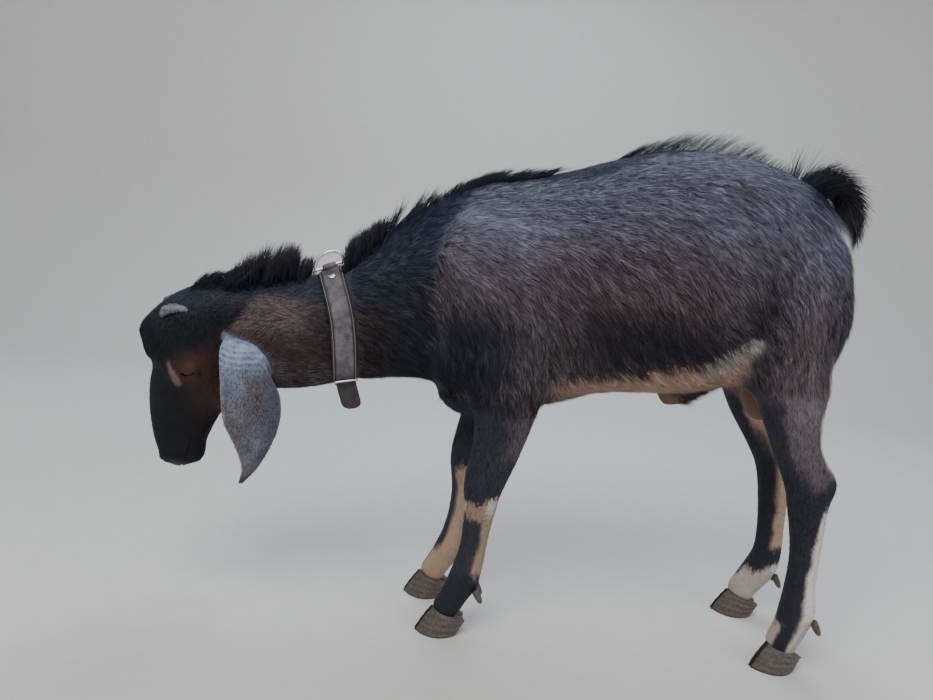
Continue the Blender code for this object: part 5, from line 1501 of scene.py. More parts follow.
def ragged(points):
    """The points moved a little, so that the markings' edges run uneven and hairy."""
    cell, reach, fine_cell, fine_reach = 0.018, 0.009, 0.0012, (0.003, 0.0, 0.014)
    broad = np.stack([lattice(points, cell, seed) - 0.5 for seed in (31, 32, 33)], 1)
    hairy = lattice(points * (1, 1, 0.25), fine_cell, 34) - 0.5
    return points + broad * reach + hairy[:, None] * np.array(fine_reach)


def coat_tones(points, normals, ways, colours, chance, fine):
    """The coat's tone at each place, with a painted sky sheen that makes upper surfaces lighter and
    bluer. fine gives each tuft its own pale or dark hairs.
    """
    stray = ragged(points)
    turned = normals.copy()
    turned[:, 0] += (stray - points)[:, 0] * 28
    tone, frost = base_colours(stray, turned, colours)
    tone, frost = head_colours(points + (stray - points) * 0.3, tone, frost, colours)
    lines = streaks(points, ways, 0.0016, 0.032, 3)
    broad = streaks(points, ways, 0.0100, 0.070, 4)
    amount = np.clip(frost * (0.60 + 0.75 * lines * (0.6 + 0.8 * broad)), 0, 1)
    if fine:
        draw = chance.random(len(points))
        pale = (draw < amount) * (0.25 + 0.65 * chance.random(len(points)))
        tone = tone * (0.78 + 0.44 * chance.random(len(points)))[:, None]
    else:
        pale = amount * 0.45
    # Painted sky sheen: upward-facing surfaces high on the goat turn lighter and bluer, the pale
    # hairs most.
    painted_sky_sheen = ramp(normals[:, 2], -0.15, 0.65)[:, None] * ramp(points[:, 2], 0.40, 0.56)[:, None]
    shade = np.array(colours.frost) * (1 + painted_sky_sheen * (0.45, 0.75, 1.35))
    tone = tone * (1 + painted_sky_sheen * (0.60, 0.80, 1.15))
    bright = shade + (tone * 1.6 - shade) * ramp(tone.mean(1), 0.10, 0.30)[:, None]
    return blend(tone, bright, pale * np.clip(frost * 3, 0, 1))


def full_tones(points, normals, ways, seats, colours, chance, fine):
    """The same with the ears laid over it."""
    tone = coat_tones(points, normals, ways, colours, chance, fine)
    for share, across, inside, away in seats.values():
        there = ramp(away, 0.006, 0.004) * ramp(share, 0.05, 0.16)
        ear, speckle = ear_colours(share, across, inside, chance, colours)
        if fine:
            ear = ear * (0.80 + 0.40 * chance.random(len(points)))[:, None]
            ear = np.where(speckle[:, None], ear * 0.50, ear * 1.12)
            bright = 0.10 * ramp(across, 0.4, -0.1) * ramp(share, 0.2, 0.3)
            bright = chance.random(len(points)) < bright
            ear = np.where(bright[:, None], np.array(colours.ear_pale) * 1.1, ear)
        lying = streaks(points, ways, 0.003, 0.014, 8)
        ear = ear * (0.72 + 0.56 * lying)[:, None]
        tone = blend(tone, ear, there)
    return tone


def paint_skin(skin, colours):
    """Gives every corner of the skin the coat's tone at that place."""
    points = places_of(skin.data)
    normals = normals_of(skin.data)
    ways = comb(points, normals)
    seats = near_ears(points)
    chance = np.random.default_rng(2)
    tones = full_tones(points, normals, ways, seats, colours, chance, False)
    x, y, z, a, b, c = SCROTUM
    bare = np.maximum(blob(points, (x, y, z - 0.004), (a * 1.05, b * 1.05, c * 0.95), 0.1),
                      blob(points, (0.270, 0.0, 0.333), (0.020, 0.02, 0.02), 0.4))
    tones = blend(tones, colours.skin, bare)
    rim = ramp(eye_distance(points), EYE_RADIUS + 0.0005, EYE_RADIUS - 0.001)
    tones = blend(tones, (0.035, 0.014, 0.010), rim)
    set_colours(skin.data, tones)
    MADE["bare"] = bare
    MADE["triangles"] = triangles(skin.data)
    MADE["normals"] = normals


def inset(share, size=0.96, low=0.02):
    """A share from 0 to 1 on the unwrap, kept off its edges."""
    return low + size * share


def round_places(points, height):
    """An unwrap of the body: its length along x, and the angle round a line at this height."""
    low, high = BODY_ENDS
    angle = np.arctan2(points[:, 1], points[:, 2] - height)
    return np.stack([inset((points[:, 0] - low) / (high - low)),
                     inset(angle / (2 * math.pi) + 0.5)], 1)


def leg_places(points, fore):
    """An unwrap of two legs: height, and the angle round each, left and right side by side."""
    x, y, z = points.T
    left = y < 0
    found = np.zeros((len(points), 2))
    for name, (rows, side, foot, root, _) in LEGS.items():
        if name.startswith("fore") != fore:
            continue
        mine = left if side < 0 else ~left
        middle = level(sorted((row[1], row[0]) for row in rows), z)
        centre = side * (root + (foot - root) * 0.6)
        angle = np.arctan2(y - centre, x - middle) / (2 * math.pi) + 0.5
        found[mine, 0] = (inset(angle, 0.45) + (0.0 if side < 0 else 0.50))[mine]
        found[mine, 1] = inset(np.clip(z / 0.42, 0, 1))[mine]
    return found


def head_places(points, side):
    """An unwrap of half the head: from poll to nose, and the angle round its axis."""
    u, v, w = head_coordinates(points)
    angle = np.arctan2(v + 0.01, w * side) / math.pi + 0.5
    return np.stack([inset(np.clip((u + 0.03) / 0.28, 0, 1)), inset(np.clip(angle, 0, 1))], 1)


def under_collar(points):
    """Whether each point lies under the collar, where no tuft grows."""
    side, up, ahead = (np.array(axis) for axis in collar_axes())
    apart = points - np.array(COLLAR_CENTRE)
    aside = apart @ side
    bow = COLLAR_BOW * aside ** 2 / (aside ** 2 + (apart @ up) ** 2)
    near = (np.abs(apart) < (0.04, 0.09, 0.13)).all(1)
    return near & (np.abs(apart @ ahead + bow) < MADE["collar_half"] - 0.001)


def grow_coat(coat, colours):
    """Tufts over the whole goat, each laid along the lie of its place."""
    chance = np.random.default_rng(coat.seed)
    corners, points, areas = MADE["triangles"]
    centres = points[corners].mean(1)
    x, y, z = centres.T
    region = coat_regions(centres, near_ears(centres))
    covered = MADE["bare"][corners].mean(1) > 0.5
    covered |= (region == 0) & under_collar(centres)
    covered |= eye_distance(centres) < EYE_RADIUS + 0.0016
    covered |= mouth_and_nostrils(centres)
    trunk, leg = region == 0, (region == 1) & (z > CORONET + 0.004)
    left = head_coordinates(centres)[2] > 0
    plans = [(f"coat_body_{name}_{end}", trunk & ((y > 0) == right) & ((x > MIDDLE) == rear),
              coat.body_tufts, "body")
             for right, name in ((False, "left"), (True, "right"))
             for rear, end in ((False, "front"), (True, "rear"))]
    plans += [("coat_legs_fore", leg & (x < 0.2), coat.leg_tufts, "leg"),
              ("coat_legs_hind", leg & (x > 0.2), coat.leg_tufts, "leg"),
              ("coat_head_left", (region == 2) & left, coat.head_tufts, "head"),
              ("coat_head_right", (region == 2) & ~left, coat.head_tufts, "head"),
              ("coat_ear_left", region == 3, coat.ear_tufts, "ear"),
              ("coat_ear_right", region == 4, coat.ear_tufts, "ear")]
    plans = [(name, mask & ~covered, count, kind) for name, mask, count, kind in plans]
    groups = {}
    for _, mask, _, kind in plans:
        groups[kind] = groups.get(kind, 0.0) + float((areas * mask).sum())
    made = []
    for name, mask, count, kind in plans:
        if kind != "ear":
            count = round(count * float((areas * mask).sum()) / groups[kind])
        places, normals = scatter(mask, count, chance)
        made.append(coat_piece(name, kind, places, normals, coat, colours, chance))
    return made


def mouth_and_nostrils(points):
    """Where the lips part and inside the nostrils, which carry no tufts."""
    u, v, w = head_coordinates(points)
    local = np.stack([u, v, np.abs(w)], 1)
    centre = np.array((NOSTRIL[0] + 0.002, NOSTRIL[1], NOSTRIL[2] + 0.002))
    nostril = np.linalg.norm((local - centre) / np.array((0.0085, 0.0048, 0.0075)), axis=1) < 1
    level_here = MOUTH_LEVEL + MOUTH_RISE * (u - MOUTH_CORNER - 0.018)
    lips = (np.abs(v - level_here) < 0.0022) & (u > MOUTH_CORNER - 0.002)
    nose_tip = (u > 0.231) & (v > -0.006)
    return nostril | lips | nose_tip


def coat_piece(name, kind, places, normals, coat, colours, chance):
    """One piece of coat, with the length, width and turn of tuft that its kind of place has."""
    ways = comb(places, normals)
    seats = near_ears(places) if kind in ("ear", "head", "body") else {}
    if kind == "ear":
        side = 1 if name.endswith("left") else -1
        share, across, inside, _ = seats[side]
        rows = [ear_surface(side, row, 0, 0.5) for row in EAR_ROWS]
        run = np.gradient(np.array(rows), axis=0)
        ways = run[np.clip(np.round(share * (len(rows) - 1)).astype(int), 0, len(rows) - 1)]
        ways = unit(ways) + unit(np.cross(normals, ways)) * (across * 0.15)[:, None]
        ways = unit(ways - normals * (ways * normals).sum(1, keepdims=True))
    count = len(places)
    wave = (lattice(places, 0.010, 12) - 0.5) * 0.9 + (lattice(places, 0.004, 13) - 0.5) * 0.5
    turn = wave * {"body": 1.0, "leg": 0.45, "head": 0.5, "ear": 0.5}[kind]
    turn = turn + chance.normal(0, 0.10, count)
    side_way = np.cross(normals, ways)
    ways = unit(ways * np.cos(turn)[:, None] + side_way * np.sin(turn)[:, None])
    lengths = np.full(count, coat.length)
    widths = np.full(count, coat.width)
    lifts = np.full(count, coat.lift)
    x, _, z = places.T
    if kind == "body":
        lengths = lengths * (1 - 0.45 * ramp(x, -0.10, -0.24)) * (1 + 0.15 * ramp(z, 0.36, 0.33))
        lengths = lengths * (1 - 0.25 * ramp(z, 0.60, 0.64))
    if kind == "leg":
        lengths = 0.0095 * (0.45 + 0.55 * ramp(z, 0.04, 0.30))
        widths = widths * 0.85
    if kind == "head":
        u, v, _ = head_coordinates(places)
        lengths = 0.0034 + 0.0030 * ramp(u, 0.13, 0.02) + 0.0025 * ramp(v, -0.03, -0.07)
        widths = 0.0006 + 0.0001 * ramp(u, 0.13, 0.02)
        lengths = lengths * (0.55 + 0.45 * ramp(eye_distance(places), 0.012, 0.026))
    if kind == "ear":
        lengths = np.full(count, 0.0048) * (1 - 0.3 * inside)
        widths = np.full(count, 0.00065)
    widths = np.broadcast_to(widths, (count,)) * chance.uniform(0.7, 1.25, count)
    lengths = lengths * chance.uniform(0.65, 1.25, count)
    lifts = lifts * chance.uniform(0.4, 1.7, count)
    tones = full_tones(places, normals, ways, seats, colours, chance, True)
    if kind == "body":
        patches = round_places(places, 0.46)
    elif kind == "leg":
        patches = leg_places(places, name.endswith("fore"))
    elif kind == "head":
        patches = head_places(places, 1 if name.endswith("left") else -1)
    else:
        patches = np.stack([inset(share), inset(across / 2 + 0.5, 0.46) + 0.5 * inside], 1)
    return tufts(name, places, normals, ways, lengths, widths, lifts, tones, patches, paint("fur"))


# Long hair

def midline(x):
    """The neck bends to the left: y of its middle at x."""
    return level(sorted(row[:2] for row in NECK), x)


def top_roots(x, across):
    """Places on the top of the neck and back, from their x and their distance from the midline."""
    y = midline(x) + across
    surface = MADE["outside"]
    roots = np.empty((len(x), 3))
    for i in range(len(x)):
        hit = surface.ray_cast(Vector((x[i], y[i], 0.75)), -UP, 0.5)[0]
        roots[i] = hit if hit else (x[i], y[i], level(HAIR_TIPS, x[i]) - 0.02)
    return roots


def crest(name, spans, hair, colours, chance):
    """Clumps of hair along the top line.

    A span is x from and to, clumps, hairs, half width, least and most lean, fan and hair width.
    """
    roots, ways, bends, lengths, widths = [], [], [], [], []
    for x_low, x_high, clumps, count, half, lean_low, lean_high, fan, thin in spans:
        clump_x = np.sort(chance.uniform(x_low, x_high, clumps))
        clump_lean = np.radians(chance.uniform(lean_low, lean_high, clumps))
        clump_tall = chance.uniform(0.88, 1.18, clumps)
        clump_side = chance.normal(0, 0.10, clumps)
        x = chance.uniform(x_low, x_high, count)
        across = chance.normal(0, half * 0.5, count).clip(-half, half)
        root = top_roots(x, across)
        nearest = np.abs(x[:, None] - clump_x[None] + chance.normal(0, 0.003, (count, 1))).argmin(1)
        lean = clump_lean[nearest] + chance.normal(0, 0.07, count)
        out = across / half * fan + clump_side[nearest] + chance.normal(0, 0.05, count)
        pull = np.clip((clump_x[nearest] - x) * 20, -0.30, 0.30)
        way = unit(np.stack([np.sin(lean) + pull * 0.5, out, np.cos(lean)], 1))
        tip_x = x + 0.02 * np.tan(lean)
        rise = level(HAIR_TIPS, tip_x) - root[:, 2]
        tall = rise / way[:, 2] * clump_tall[nearest] * chance.uniform(0.72, 1.04, count)
        tall = tall * (1 - 0.45 * (np.abs(across) / half) ** 2)
        roots.append(root)
        ways.append(way)
        bends.append(np.stack([chance.uniform(0.0, 0.16, count) + pull * 0.3, out * 0.3,
                               chance.uniform(-0.06, 0.02, count)], 1))
        lengths.append(np.clip(tall, 0.008, 0.060))
        widths.append(hair.width * chance.uniform(0.55, 1.1, count) * thin)
    roots, ways, bends = np.vstack(roots), np.vstack(ways), np.vstack(bends)
    lengths, widths = np.concatenate(lengths), np.concatenate(widths)
    count = len(roots)
    dark = np.array(colours.black) * chance.uniform(0.8, 2.0, (count, 1))
    brown = np.array((0.034, 0.026, 0.024)) * chance.uniform(0.4, 2.0, (count, 1))
    return hairs(name, roots, ways, bends, lengths, widths, dark, brown,
                 round_places(roots, 0.40), paint("long_hair"))


def tail_hair(hair, colours, chance):
    """Hair that leaves the tail's core on its back and sides and lies towards its tip."""
    table = catmull(TAIL, 6)
    run = unit(np.gradient(table[:, :3], axis=0))
    count = hair.tail
    share = 0.10 + 0.86 * chance.random(count)
    index = np.clip((share * (len(table) - 1)).astype(int), 0, len(table) - 1)
    here, ahead = table[index, :3], run[index]
    left = np.array((0.0, -1.0, 0.0))
    dorsal = unit(np.cross(ahead, left))
    dorsal = dorsal * np.sign((dorsal * np.array((0.7, 0, 0.7))).sum(1, keepdims=True))
    turn = np.radians(chance.normal(0, 62, count).clip(-150, 150))
    below = chance.random(count) < 0.42
    turn = np.where(below, np.radians(180 + chance.normal(0, 38, count)), turn)
    out = dorsal * np.cos(turn)[:, None] + left * np.sin(turn)[:, None]
    radius = table[index, 4] * 0.8
    roots = here + out * radius[:, None]
    flare = chance.uniform(0.10, 0.62, count) * (1 - 0.25 * share) + 0.8 * below
    ways = unit(ahead + out * flare[:, None] + chance.normal(0, 0.06, (count, 3)))
    bends = ahead * chance.uniform(0.05, 0.30, (count, 1)) - out * 0.12
    lengths = 0.034 * chance.uniform(0.55, 1.25, count) * (1 - 0.20 * share) * (1 + 0.4 * below)
    widths = hair.width * chance.uniform(0.5, 0.95, count)
    dark = np.array(colours.black) * chance.uniform(0.7, 1.4, (count, 1))
    brown = np.array(SUNNED) * chance.uniform(0.4, 1.6, (count, 1))
    near = ((np.sin(turn) > 0.45) | below)[:, None] * ramp(share, 0.45, 0.65)[:, None]
    brown = brown + (np.array(colours.body) * 1.8 - brown) * near
    patches = np.stack([inset(share), inset(turn / (2 * math.pi) + 0.5)], 1)
    return hairs("tail_hair", roots, ways, bends, lengths, widths, dark, brown, patches,
                 paint("long_hair"))


def fine_hair(name, places, ways, lengths, width, tone, chance):
    """A few single hairs, such as lashes and whiskers."""
    places, ways = np.array(places), unit(np.array(ways))
    count = len(places)
    bends = chance.normal(0, 0.08, (count, 3))
    tones = np.array(tone) * chance.uniform(0.7, 1.3, (count, 1))
    patches = chance.random((count, 2)) * 0.9 + 0.05
    return hairs(name, places, ways, bends, np.array(lengths), np.full(count, width), tones * 0.8,
                 tones * 1.3, patches, paint("long_hair"))


def lashes(side, name, chance):
    """Hairs in two rows along the slit of the lids, which hang outwards and down."""
    slit, across, look = eye_axes(side)
    forward = 1 if across.dot(head_direction(1, 0, 0)) > 0 else -1
    places, ways, lengths = [], [], []
    for k in range(LASHES):
        t = chance.uniform(-0.85, 0.85)
        edge = math.sqrt(1 - t * t) * SLIT_HEIGHT / 2 * (1 if k % 3 else -1) * forward
        spot = slit * (t * SLIT_LENGTH / 2) + across * edge
        rise = math.sqrt((EYE_RADIUS + LID * 0.8) ** 2 - spot.length ** 2)
        places.append(eye_centre(side) + spot + look * rise)
        ways.append(look * 0.8 + across * (edge / abs(edge) * 0.5)
                    + slit * chance.uniform(-0.2, 0.2) - UP * 0.5)
        lengths.append(chance.uniform(0.003, 0.0065))
    return fine_hair("lashes_" + name, places, ways, lengths, 0.00022, (0.03, 0.016, 0.010), chance)


# Eyes, horn buds and feet

def build_eye(side, name):
    centre = eye_centre(side)
    slit, across, look = eye_axes(side)
    bm = bmesh.new()
    ball(bm, Matrix.Identity(4), (EYE_RADIUS,) * 3, 64, 48)
    points = np.array([v.co for v in bm.verts]) / EYE_RADIUS
    x, y, z = points.T
    bulge = 1 + 0.035 * ramp(np.hypot(x, y), 0.62, 0.30) * (z > 0)
    for vert, grow in zip(bm.verts, bulge):
        vert.co = vert.co * float(grow) * EYE_FIT
    bm.transform(axes_place(centre, slit, across, look))
    eye = add_object(f"eye_{name}_globe", bm, paint("eye"))
    reach = np.hypot(x, y)
    tone = np.repeat(np.array(((0.055, 0.030, 0.022),)), len(points), 0)
    tone = blend(tone, (0.11, 0.055, 0.020), ramp(reach, 0.70, 0.62) * (z > 0))
    pupil = ramp(np.abs(x), 0.42, 0.34) * ramp(np.abs(y), 0.19, 0.12) * (z > 0)
    set_colours(eye.data, tone * (1 - 0.95 * pupil[:, None]))
    return eye


def build_horn(side, name):
    root = head_point(HORN_ROOT[0], HORN_ROOT[1], side * HORN_ROOT[2])
    tip = head_point(HORN_TIP[0], HORN_TIP[1], side * HORN_TIP[2])
    rise = head_direction(-0.6, 0.8, 0) * 0.006
    chance = random.Random(21 + side)
    rings = []
    for k in range(31):
        t = k / 30
        centre = root.lerp(tip, t) + rise * (0.10 + 0.75 * math.sin(math.pi * t))
        ridge = 1 + 0.06 * math.sin(t * 27) + chance.uniform(-0.05, 0.05)
        close = math.sqrt(max(0.0, 1 - max(0.0, (t - 0.86) / 0.145) ** 2))
        radius = HORN_RADIUS * (1 - 0.62 * t ** 1.6) * ridge * close
        ahead = (tip - root).normalized()
        across = ahead.cross(rise).normalized()
        up = across.cross(ahead)
        rings.append([centre + (across * math.cos(a) * 1.1 + up * math.sin(a) * 0.7)
                      * radius * (1 + 0.03 * math.sin(5 * a + 9 * t))
                      for a in around(28)])
    return ring_object(f"horn_bud_{name}", rings, "bud")


def claw_outline(side):
    length, width = CLAW_LENGTH, CLAW_WIDTH
    outer = []
    for k in range(29):
        t = k / 28
        across = width * (math.sin(math.pi * min(1, t * 0.92 + 0.13)) ** 0.62)
        outer.append((length * (0.5 - t), CLAW_CLEFT + across))
    inner = [(length * (t - 0.5), CLAW_CLEFT) for t in (0.02, 0.2, 0.4, 0.6, 0.8, 0.97)]
    return [(x, side * y) for x, y in outer + inner]


def build_claw(name, foot, turn, side):
    """One claw: flat at the floor, leaning to the toe, with growth rings up its wall."""
    rings = []
    for k in range(15):
        level_here = k / 14
        grow = 1.0 - 0.18 * level_here ** 1.1
        grow += 0.010 * math.sin(level_here * 21) - 0.04 * max(0, 0.10 - level_here) / 0.10
        shift = -0.004 + 0.016 * level_here
        ring = []
        for x, y in claw_outline(side):
            x = x * grow + shift
            y = CLAW_CLEFT * side + (y - CLAW_CLEFT * side) * grow
            top = CORONET - x * CORONET_SLOPE - GAP
            ring.append(Vector((x, y, max(0.0, top) * level_here)))
        rings.append(ring)
    place = Matrix.Translation(foot) @ Matrix.Rotation(turn, 4, "Z")
    return ring_object(name, [[place @ p for p in ring] for ring in rings], "claw")


def build_dewclaw(name, leg, side):
    rows, leg_side, foot, *_ = LEGS[leg]
    x, z, back = rows[-3][0], rows[-3][1] - 0.012, rows[-3][4]
    place = Vector((x + back * 0.86, leg_side * foot + side * 0.012, z))
    rings = []
    for k in range(13):
        t = k / 12
        radius = float(level(DEWCLAW_TAPER, t))
        centre = place + Vector((0.010 * t - 0.004, 0, -0.017 * t + 0.004))
        rings.append([centre + Vector((0.6 * math.cos(a), math.sin(a), 0.5 * math.cos(a)))
                      * radius * (1 + 0.02 * math.sin(30 * t))
                      for a in around(18)])
    return ring_object(name, rings, "claw")


# Collar

def collar_axes():
    """The collar's own axes: across the neck to the left, upwards, and towards the head."""
    heading = Vector((-math.cos(COLLAR_TURN), -math.sin(COLLAR_TURN), 0))
    up = Vector((-math.sin(COLLAR_TILT), 0, math.cos(COLLAR_TILT)))
    ahead = (heading - up * heading.dot(up)).normalized()
    return up.cross(ahead).normalized(), up, ahead


def collar_reach(offset):
    """The neck's reach from the collar's middle, round the neck, in a plane moved by the offset."""
    side, up, ahead = collar_axes()
    found = []
    for angle in around(COLLAR_STEPS):
        start = COLLAR_CENTRE + ahead * (offset - COLLAR_BOW * math.cos(angle) ** 2)
        way = side * math.cos(angle) + up * math.sin(angle)
        found.append((on_surface(MADE["outside"], start, way, 0.2) - start).length)
    found = np.array(found)
    for _ in range(3):
        found = (np.roll(found, 1) + 2 * found + np.roll(found, -1)) / 4
    return found


def collar_point(reach, angle, height, offset):
    """A point at an angle round the collar, this far out from the neck and towards the head."""
    side, up, ahead = collar_axes()
    share = angle / (2 * math.pi) * COLLAR_STEPS % COLLAR_STEPS
    before, part = int(share), share - int(share)
    radius = between(*(reach[(before + k) % COLLAR_STEPS] for k in (-1, 0, 1, 2)), part)
    way = side * math.cos(angle) + up * math.sin(angle)
    bow = COLLAR_BOW * math.cos(angle) ** 2
    return COLLAR_CENTRE + ahead * (offset - bow) + way * (radius + height)


def hoop(edges, inner, thick, width, wave=0.0):
    """A strap round the neck with rounded edges. edges holds the neck's reach at both edges."""
    bm = bmesh.new()
    rings = []
    section = [(share, 0.0) for share in np.linspace(-1, 1, 9)]
    section += [(share, 1.0 - 0.42 * max(0.0, (abs(share) - 0.86) / 0.14) ** 2)
                for share in np.linspace(1, -1, 13)]
    for angle in around(COLLAR_FINE):
        ring = []
        for across, lift in section:
            reach = edges[-1] + (edges[1] - edges[-1]) * (across + 1) / 2
            height = inner + thick * lift + wave * math.sin(angle * 7 + across * 2) * lift
            ring.append(collar_point(reach, angle, height, across * width / 2))
        rings.append(ring)
    bridge_rings(bm, rings, closed=True)
    return bm


def stitching(edges, height, width, collar, inset, name):
    """Short sunk stitches in a row along each edge of the band."""
    bm = bmesh.new()
    for edge in (-1, 1):
        offset = edge * (width / 2 - inset)
        reach = edges[-1] + (edges[1] - edges[-1]) * (offset / width + 0.5)
        for k in range(collar.stitches):
            middle = 2 * math.pi * (k + 0.5) / collar.stitches
            half = 2 * math.pi / collar.stitches * 0.34
            points = [collar_point(reach, middle + half * share, height + rise, offset)
                      for share, rise in STITCH_RISE]
            piece = tube(points, STITCH_RADIUS, 6)
            shape = bpy.data.meshes.new("stitch")
            piece.to_mesh(shape)
            piece.free()
            bm.from_mesh(shape)
            bpy.data.meshes.remove(shape)
    return add_object(name, bm, paint("thread"))


def across_collar(edges, angle, width):
    """Along the strap's width, on the slope that the neck has there."""
    low = collar_point(edges[-1], angle, 0, -width / 2)
    return (collar_point(edges[1], angle, 0, width / 2) - low).normalized()


def build_collar(collar):
    width, thick = collar.band_width, collar.band_thick
    edges = {-1: collar_reach(-width / 2), 1: collar_reach(width / 2)}
    middle = (edges[-1] + edges[1]) / 2
    inner = {sign: middle + (edges[sign] - middle) * collar.strap_width / width for sign in (-1, 1)}
    height = BAND_SINK + thick + GAP
    outside = height + collar.strap_thick
    band = add_object("collar_lining", hoop(edges, BAND_SINK, thick, width), paint("band"))
    strap = add_object("collar_outer_strap", hoop(inner, height, collar.strap_thick,
                                                  collar.strap_width, 0.00015), paint("strap"))
    settle(band, "collar_band", slot="dark_leather")
    settle(strap, "collar_strap", slot="worn_leather")
    inset = (width - collar.strap_width) / 4
    settle(stitching(edges, BAND_SINK + thick, width, collar, inset, "collar_stitches"),
           slot="worn_leather")
    seat_radius = RING_WIRE + 0.0004
    ahead = across_collar(edges, RING_ANGLE, width)
    bar = collar_point(middle, RING_ANGLE, outside + seat_radius + 0.0006, 0)
    rise = (collar_axes()[1] + collar_axes()[0] * 0.25).normalized()
    path = [bar + ahead * (RING_WIDTH / 2 * math.cos(math.pi * k / 40))
            + rise * (RING_HEIGHT * math.sin(math.pi * k / 40) ** 0.8) for k in range(41)]
    path += [bar - ahead * (RING_WIDTH / 2 * (1 - 2 * k / 12)) for k in range(1, 12)]
    settle(add_object("collar_d_ring", tube(path, RING_WIRE, 16, closed=True), paint("steel")),
           "collar_ring", slot="steel")
    half = collar.strap_width * 0.40
    shares = np.linspace(-1, 1, 9)
    fold = tube([bar + ahead * half * share for share in shares],
                [seat_radius + 0.0018 * math.sqrt(1 - 0.7 * share ** 4) for share in shares], 24)
    settle(add_object("collar_fold", fold, paint("strap")), slot="worn_leather")
    stud = collar_point(middle, RIVET_ANGLE, outside + GAP, 0)
    way = (stud - COLLAR_CENTRE).normalized()
    turn = way.to_track_quat("Z", "Y").to_matrix().to_4x4()
    place = Matrix.Translation(stud) @ turn
    rings = [[place @ Vector((radius * math.cos(a), radius * math.sin(a), z)) for a in around(28)]
             for radius, z in STUD_PROFILE]
    settle(ring_object("collar_stud", rings, "steel"), "collar_rivet", slot="steel")
    build_buckle(edges, middle, outside, width)


def build_buckle(edges, middle, outside, width):
    ahead = across_collar(edges, BUCKLE_ANGLE, width)
    centre = collar_point(middle, BUCKLE_ANGLE, outside + BUCKLE_WIRE + GAP + 0.0006, 0)
    out = (centre - COLLAR_CENTRE).normalized()
    along = ahead.cross(out).normalized()
    long, wide = BUCKLE_SIZE
    corners = [centre + ahead * signed_power(math.cos(a), 0.3) * long / 2
               + along * signed_power(math.sin(a), 0.3) * wide / 2 for a in around(64)]
    wire = tube(corners, BUCKLE_WIRE, 14, closed=True)
    settle(add_object("collar_wire_buckle", wire, paint("steel")), "collar_buckle", slot="steel")
    down = Vector((0.36, -0.10, -1.0)).normalized()
    top = collar_point(middle, BUCKLE_ANGLE, outside + GAP, 0)
    face = ahead.cross(down).normalized()
    rings = []
    for k in range(25):
        t = -0.12 + 1.12 * k / 24
        share = float(level(END_TAPER, t))
        place = top + down * END_LENGTH * t + face * (0.0012 * math.sin(3 * t))
        half = END_WIDTH / 2 * share
        rings.append([place + ahead * (half * signed_power(math.cos(a), 0.35))
                      + face * (END_THICK / 2 * signed_power(math.sin(a), 0.6))
                      for a in around(24)])
    settle(ring_object("collar_strap_end", rings, "band"), "collar_end", slot="dark_leather")


# Stage

def floor_material():
    made, tree, shader = blank("stage_floor", Roughness=0.9, Specular_IOR_Level=0.1)
    feed(tree, shader, Base_Color=mixed(tree, noise(tree, 30, 3), (0.60, 0.585, 0.56, 1),
                                        (0.66, 0.645, 0.62, 1)))
    return made


def soft_light(name, place, target, power, size, colour):
    data = bpy.data.lights.new(name, "AREA")
    data.shape, data.size, data.energy, data.color = "DISK", size, power, colour
    lamp = bpy.data.objects.new(name, data)
    lamp.location = place
    lamp.rotation_euler = (Vector(target) - Vector(place)).to_track_quat("-Z", "Y").to_euler()
    bpy.context.scene.collection.objects.link(lamp)


def build_stage(stage):
    bm = bmesh.new()
    front, back, bend, top = -3.5, 1.6, 0.8, 3.2
    curve = [(back + bend * math.sin(a), bend - bend * math.cos(a))
             for a in np.linspace(0.1, math.pi / 2, 14)]
    rows = [[bm.verts.new((x, y, z)) for x in (-5, 5)]
            for y, z in ((front, 0.0), (back, 0.0), *curve, (back + bend, top))]
    for a, b in zip(rows, rows[1:]):
        bm.faces.new((a[0], a[1], b[1], b[0]))
    add_object("stage_floor_sweep", bm, floor_material())
    middle = (0.0, 0.0, 0.35)
    soft_light("key", (-0.7, -1.7, 2.6), middle, stage.key, 1.6, (1.0, 0.985, 0.96))
    soft_light("fill", (1.9, -1.5, 1.1), middle, stage.fill, 1.8, (0.93, 0.96, 1.0))
    soft_light("back", (0.2, 1.3, 2.5), middle, stage.fill * 2.2, 1.6, (0.80, 0.89, 1.0))
    world = bpy.data.worlds.new("studio")
    world.use_nodes = True
    world.node_tree.nodes["Background"].inputs[0].default_value = (0.86, 0.91, 1.0, 1)
    world.node_tree.nodes["Background"].inputs[1].default_value = 0.55
    bpy.context.scene.world = world
    data = bpy.data.cameras.new("camera")
    data.sensor_width, data.lens = 36.0, stage.lens
    camera = bpy.data.objects.new("camera", data)
    camera.matrix_world = (Matrix.Translation(CAMERA_PLACE + shift_from_solids())
                           @ Matrix.Rotation(CAMERA_TILT, 4, "X")
                           @ Matrix.Rotation(CAMERA_ROLL, 4, "Z"))
    bpy.context.scene.collection.objects.link(camera)
    bpy.context.scene.camera = camera


# Operators

FLESH_NODES = ("head", "neck", "torso", "ear_left", "ear_right", "scrotum",
               "leg_fore_left_upper", "leg_fore_left_lower", "leg_fore_right_upper",
               "leg_fore_right_lower", "leg_hind_left_upper", "leg_hind_left_lower",
               "leg_hind_right_upper", "leg_hind_right_lower")


class GOAT_OT_skin(bpy.types.Operator):
    """Build the closed skin with its markings"""
    bl_idname = "goat.skin"
    bl_label = "Skin"

    def execute(self, context):
        scene = context.scene
        MADE["collar_half"] = scene.goat_collar.band_width / 2
        skin = build_skin(scene.goat_coat)
        paint_skin(skin, scene.goat_colours)
        skin.data.materials.clear()
        skin.data.materials.append(paint("skin"))
        MADE["skin_piece"] = skin
        return {"FINISHED"}


class GOAT_OT_coat(bpy.types.Operator):
    """Grow the short coat over the skin"""
    bl_idname = "goat.coat"
    bl_label = "Coat"

    def execute(self, context):
        scene = context.scene
        for piece in grow_coat(scene.goat_coat, scene.goat_colours):
            settle(piece, slot="ear" if "_ear_" in piece.name else "coat")
        return {"FINISHED"}


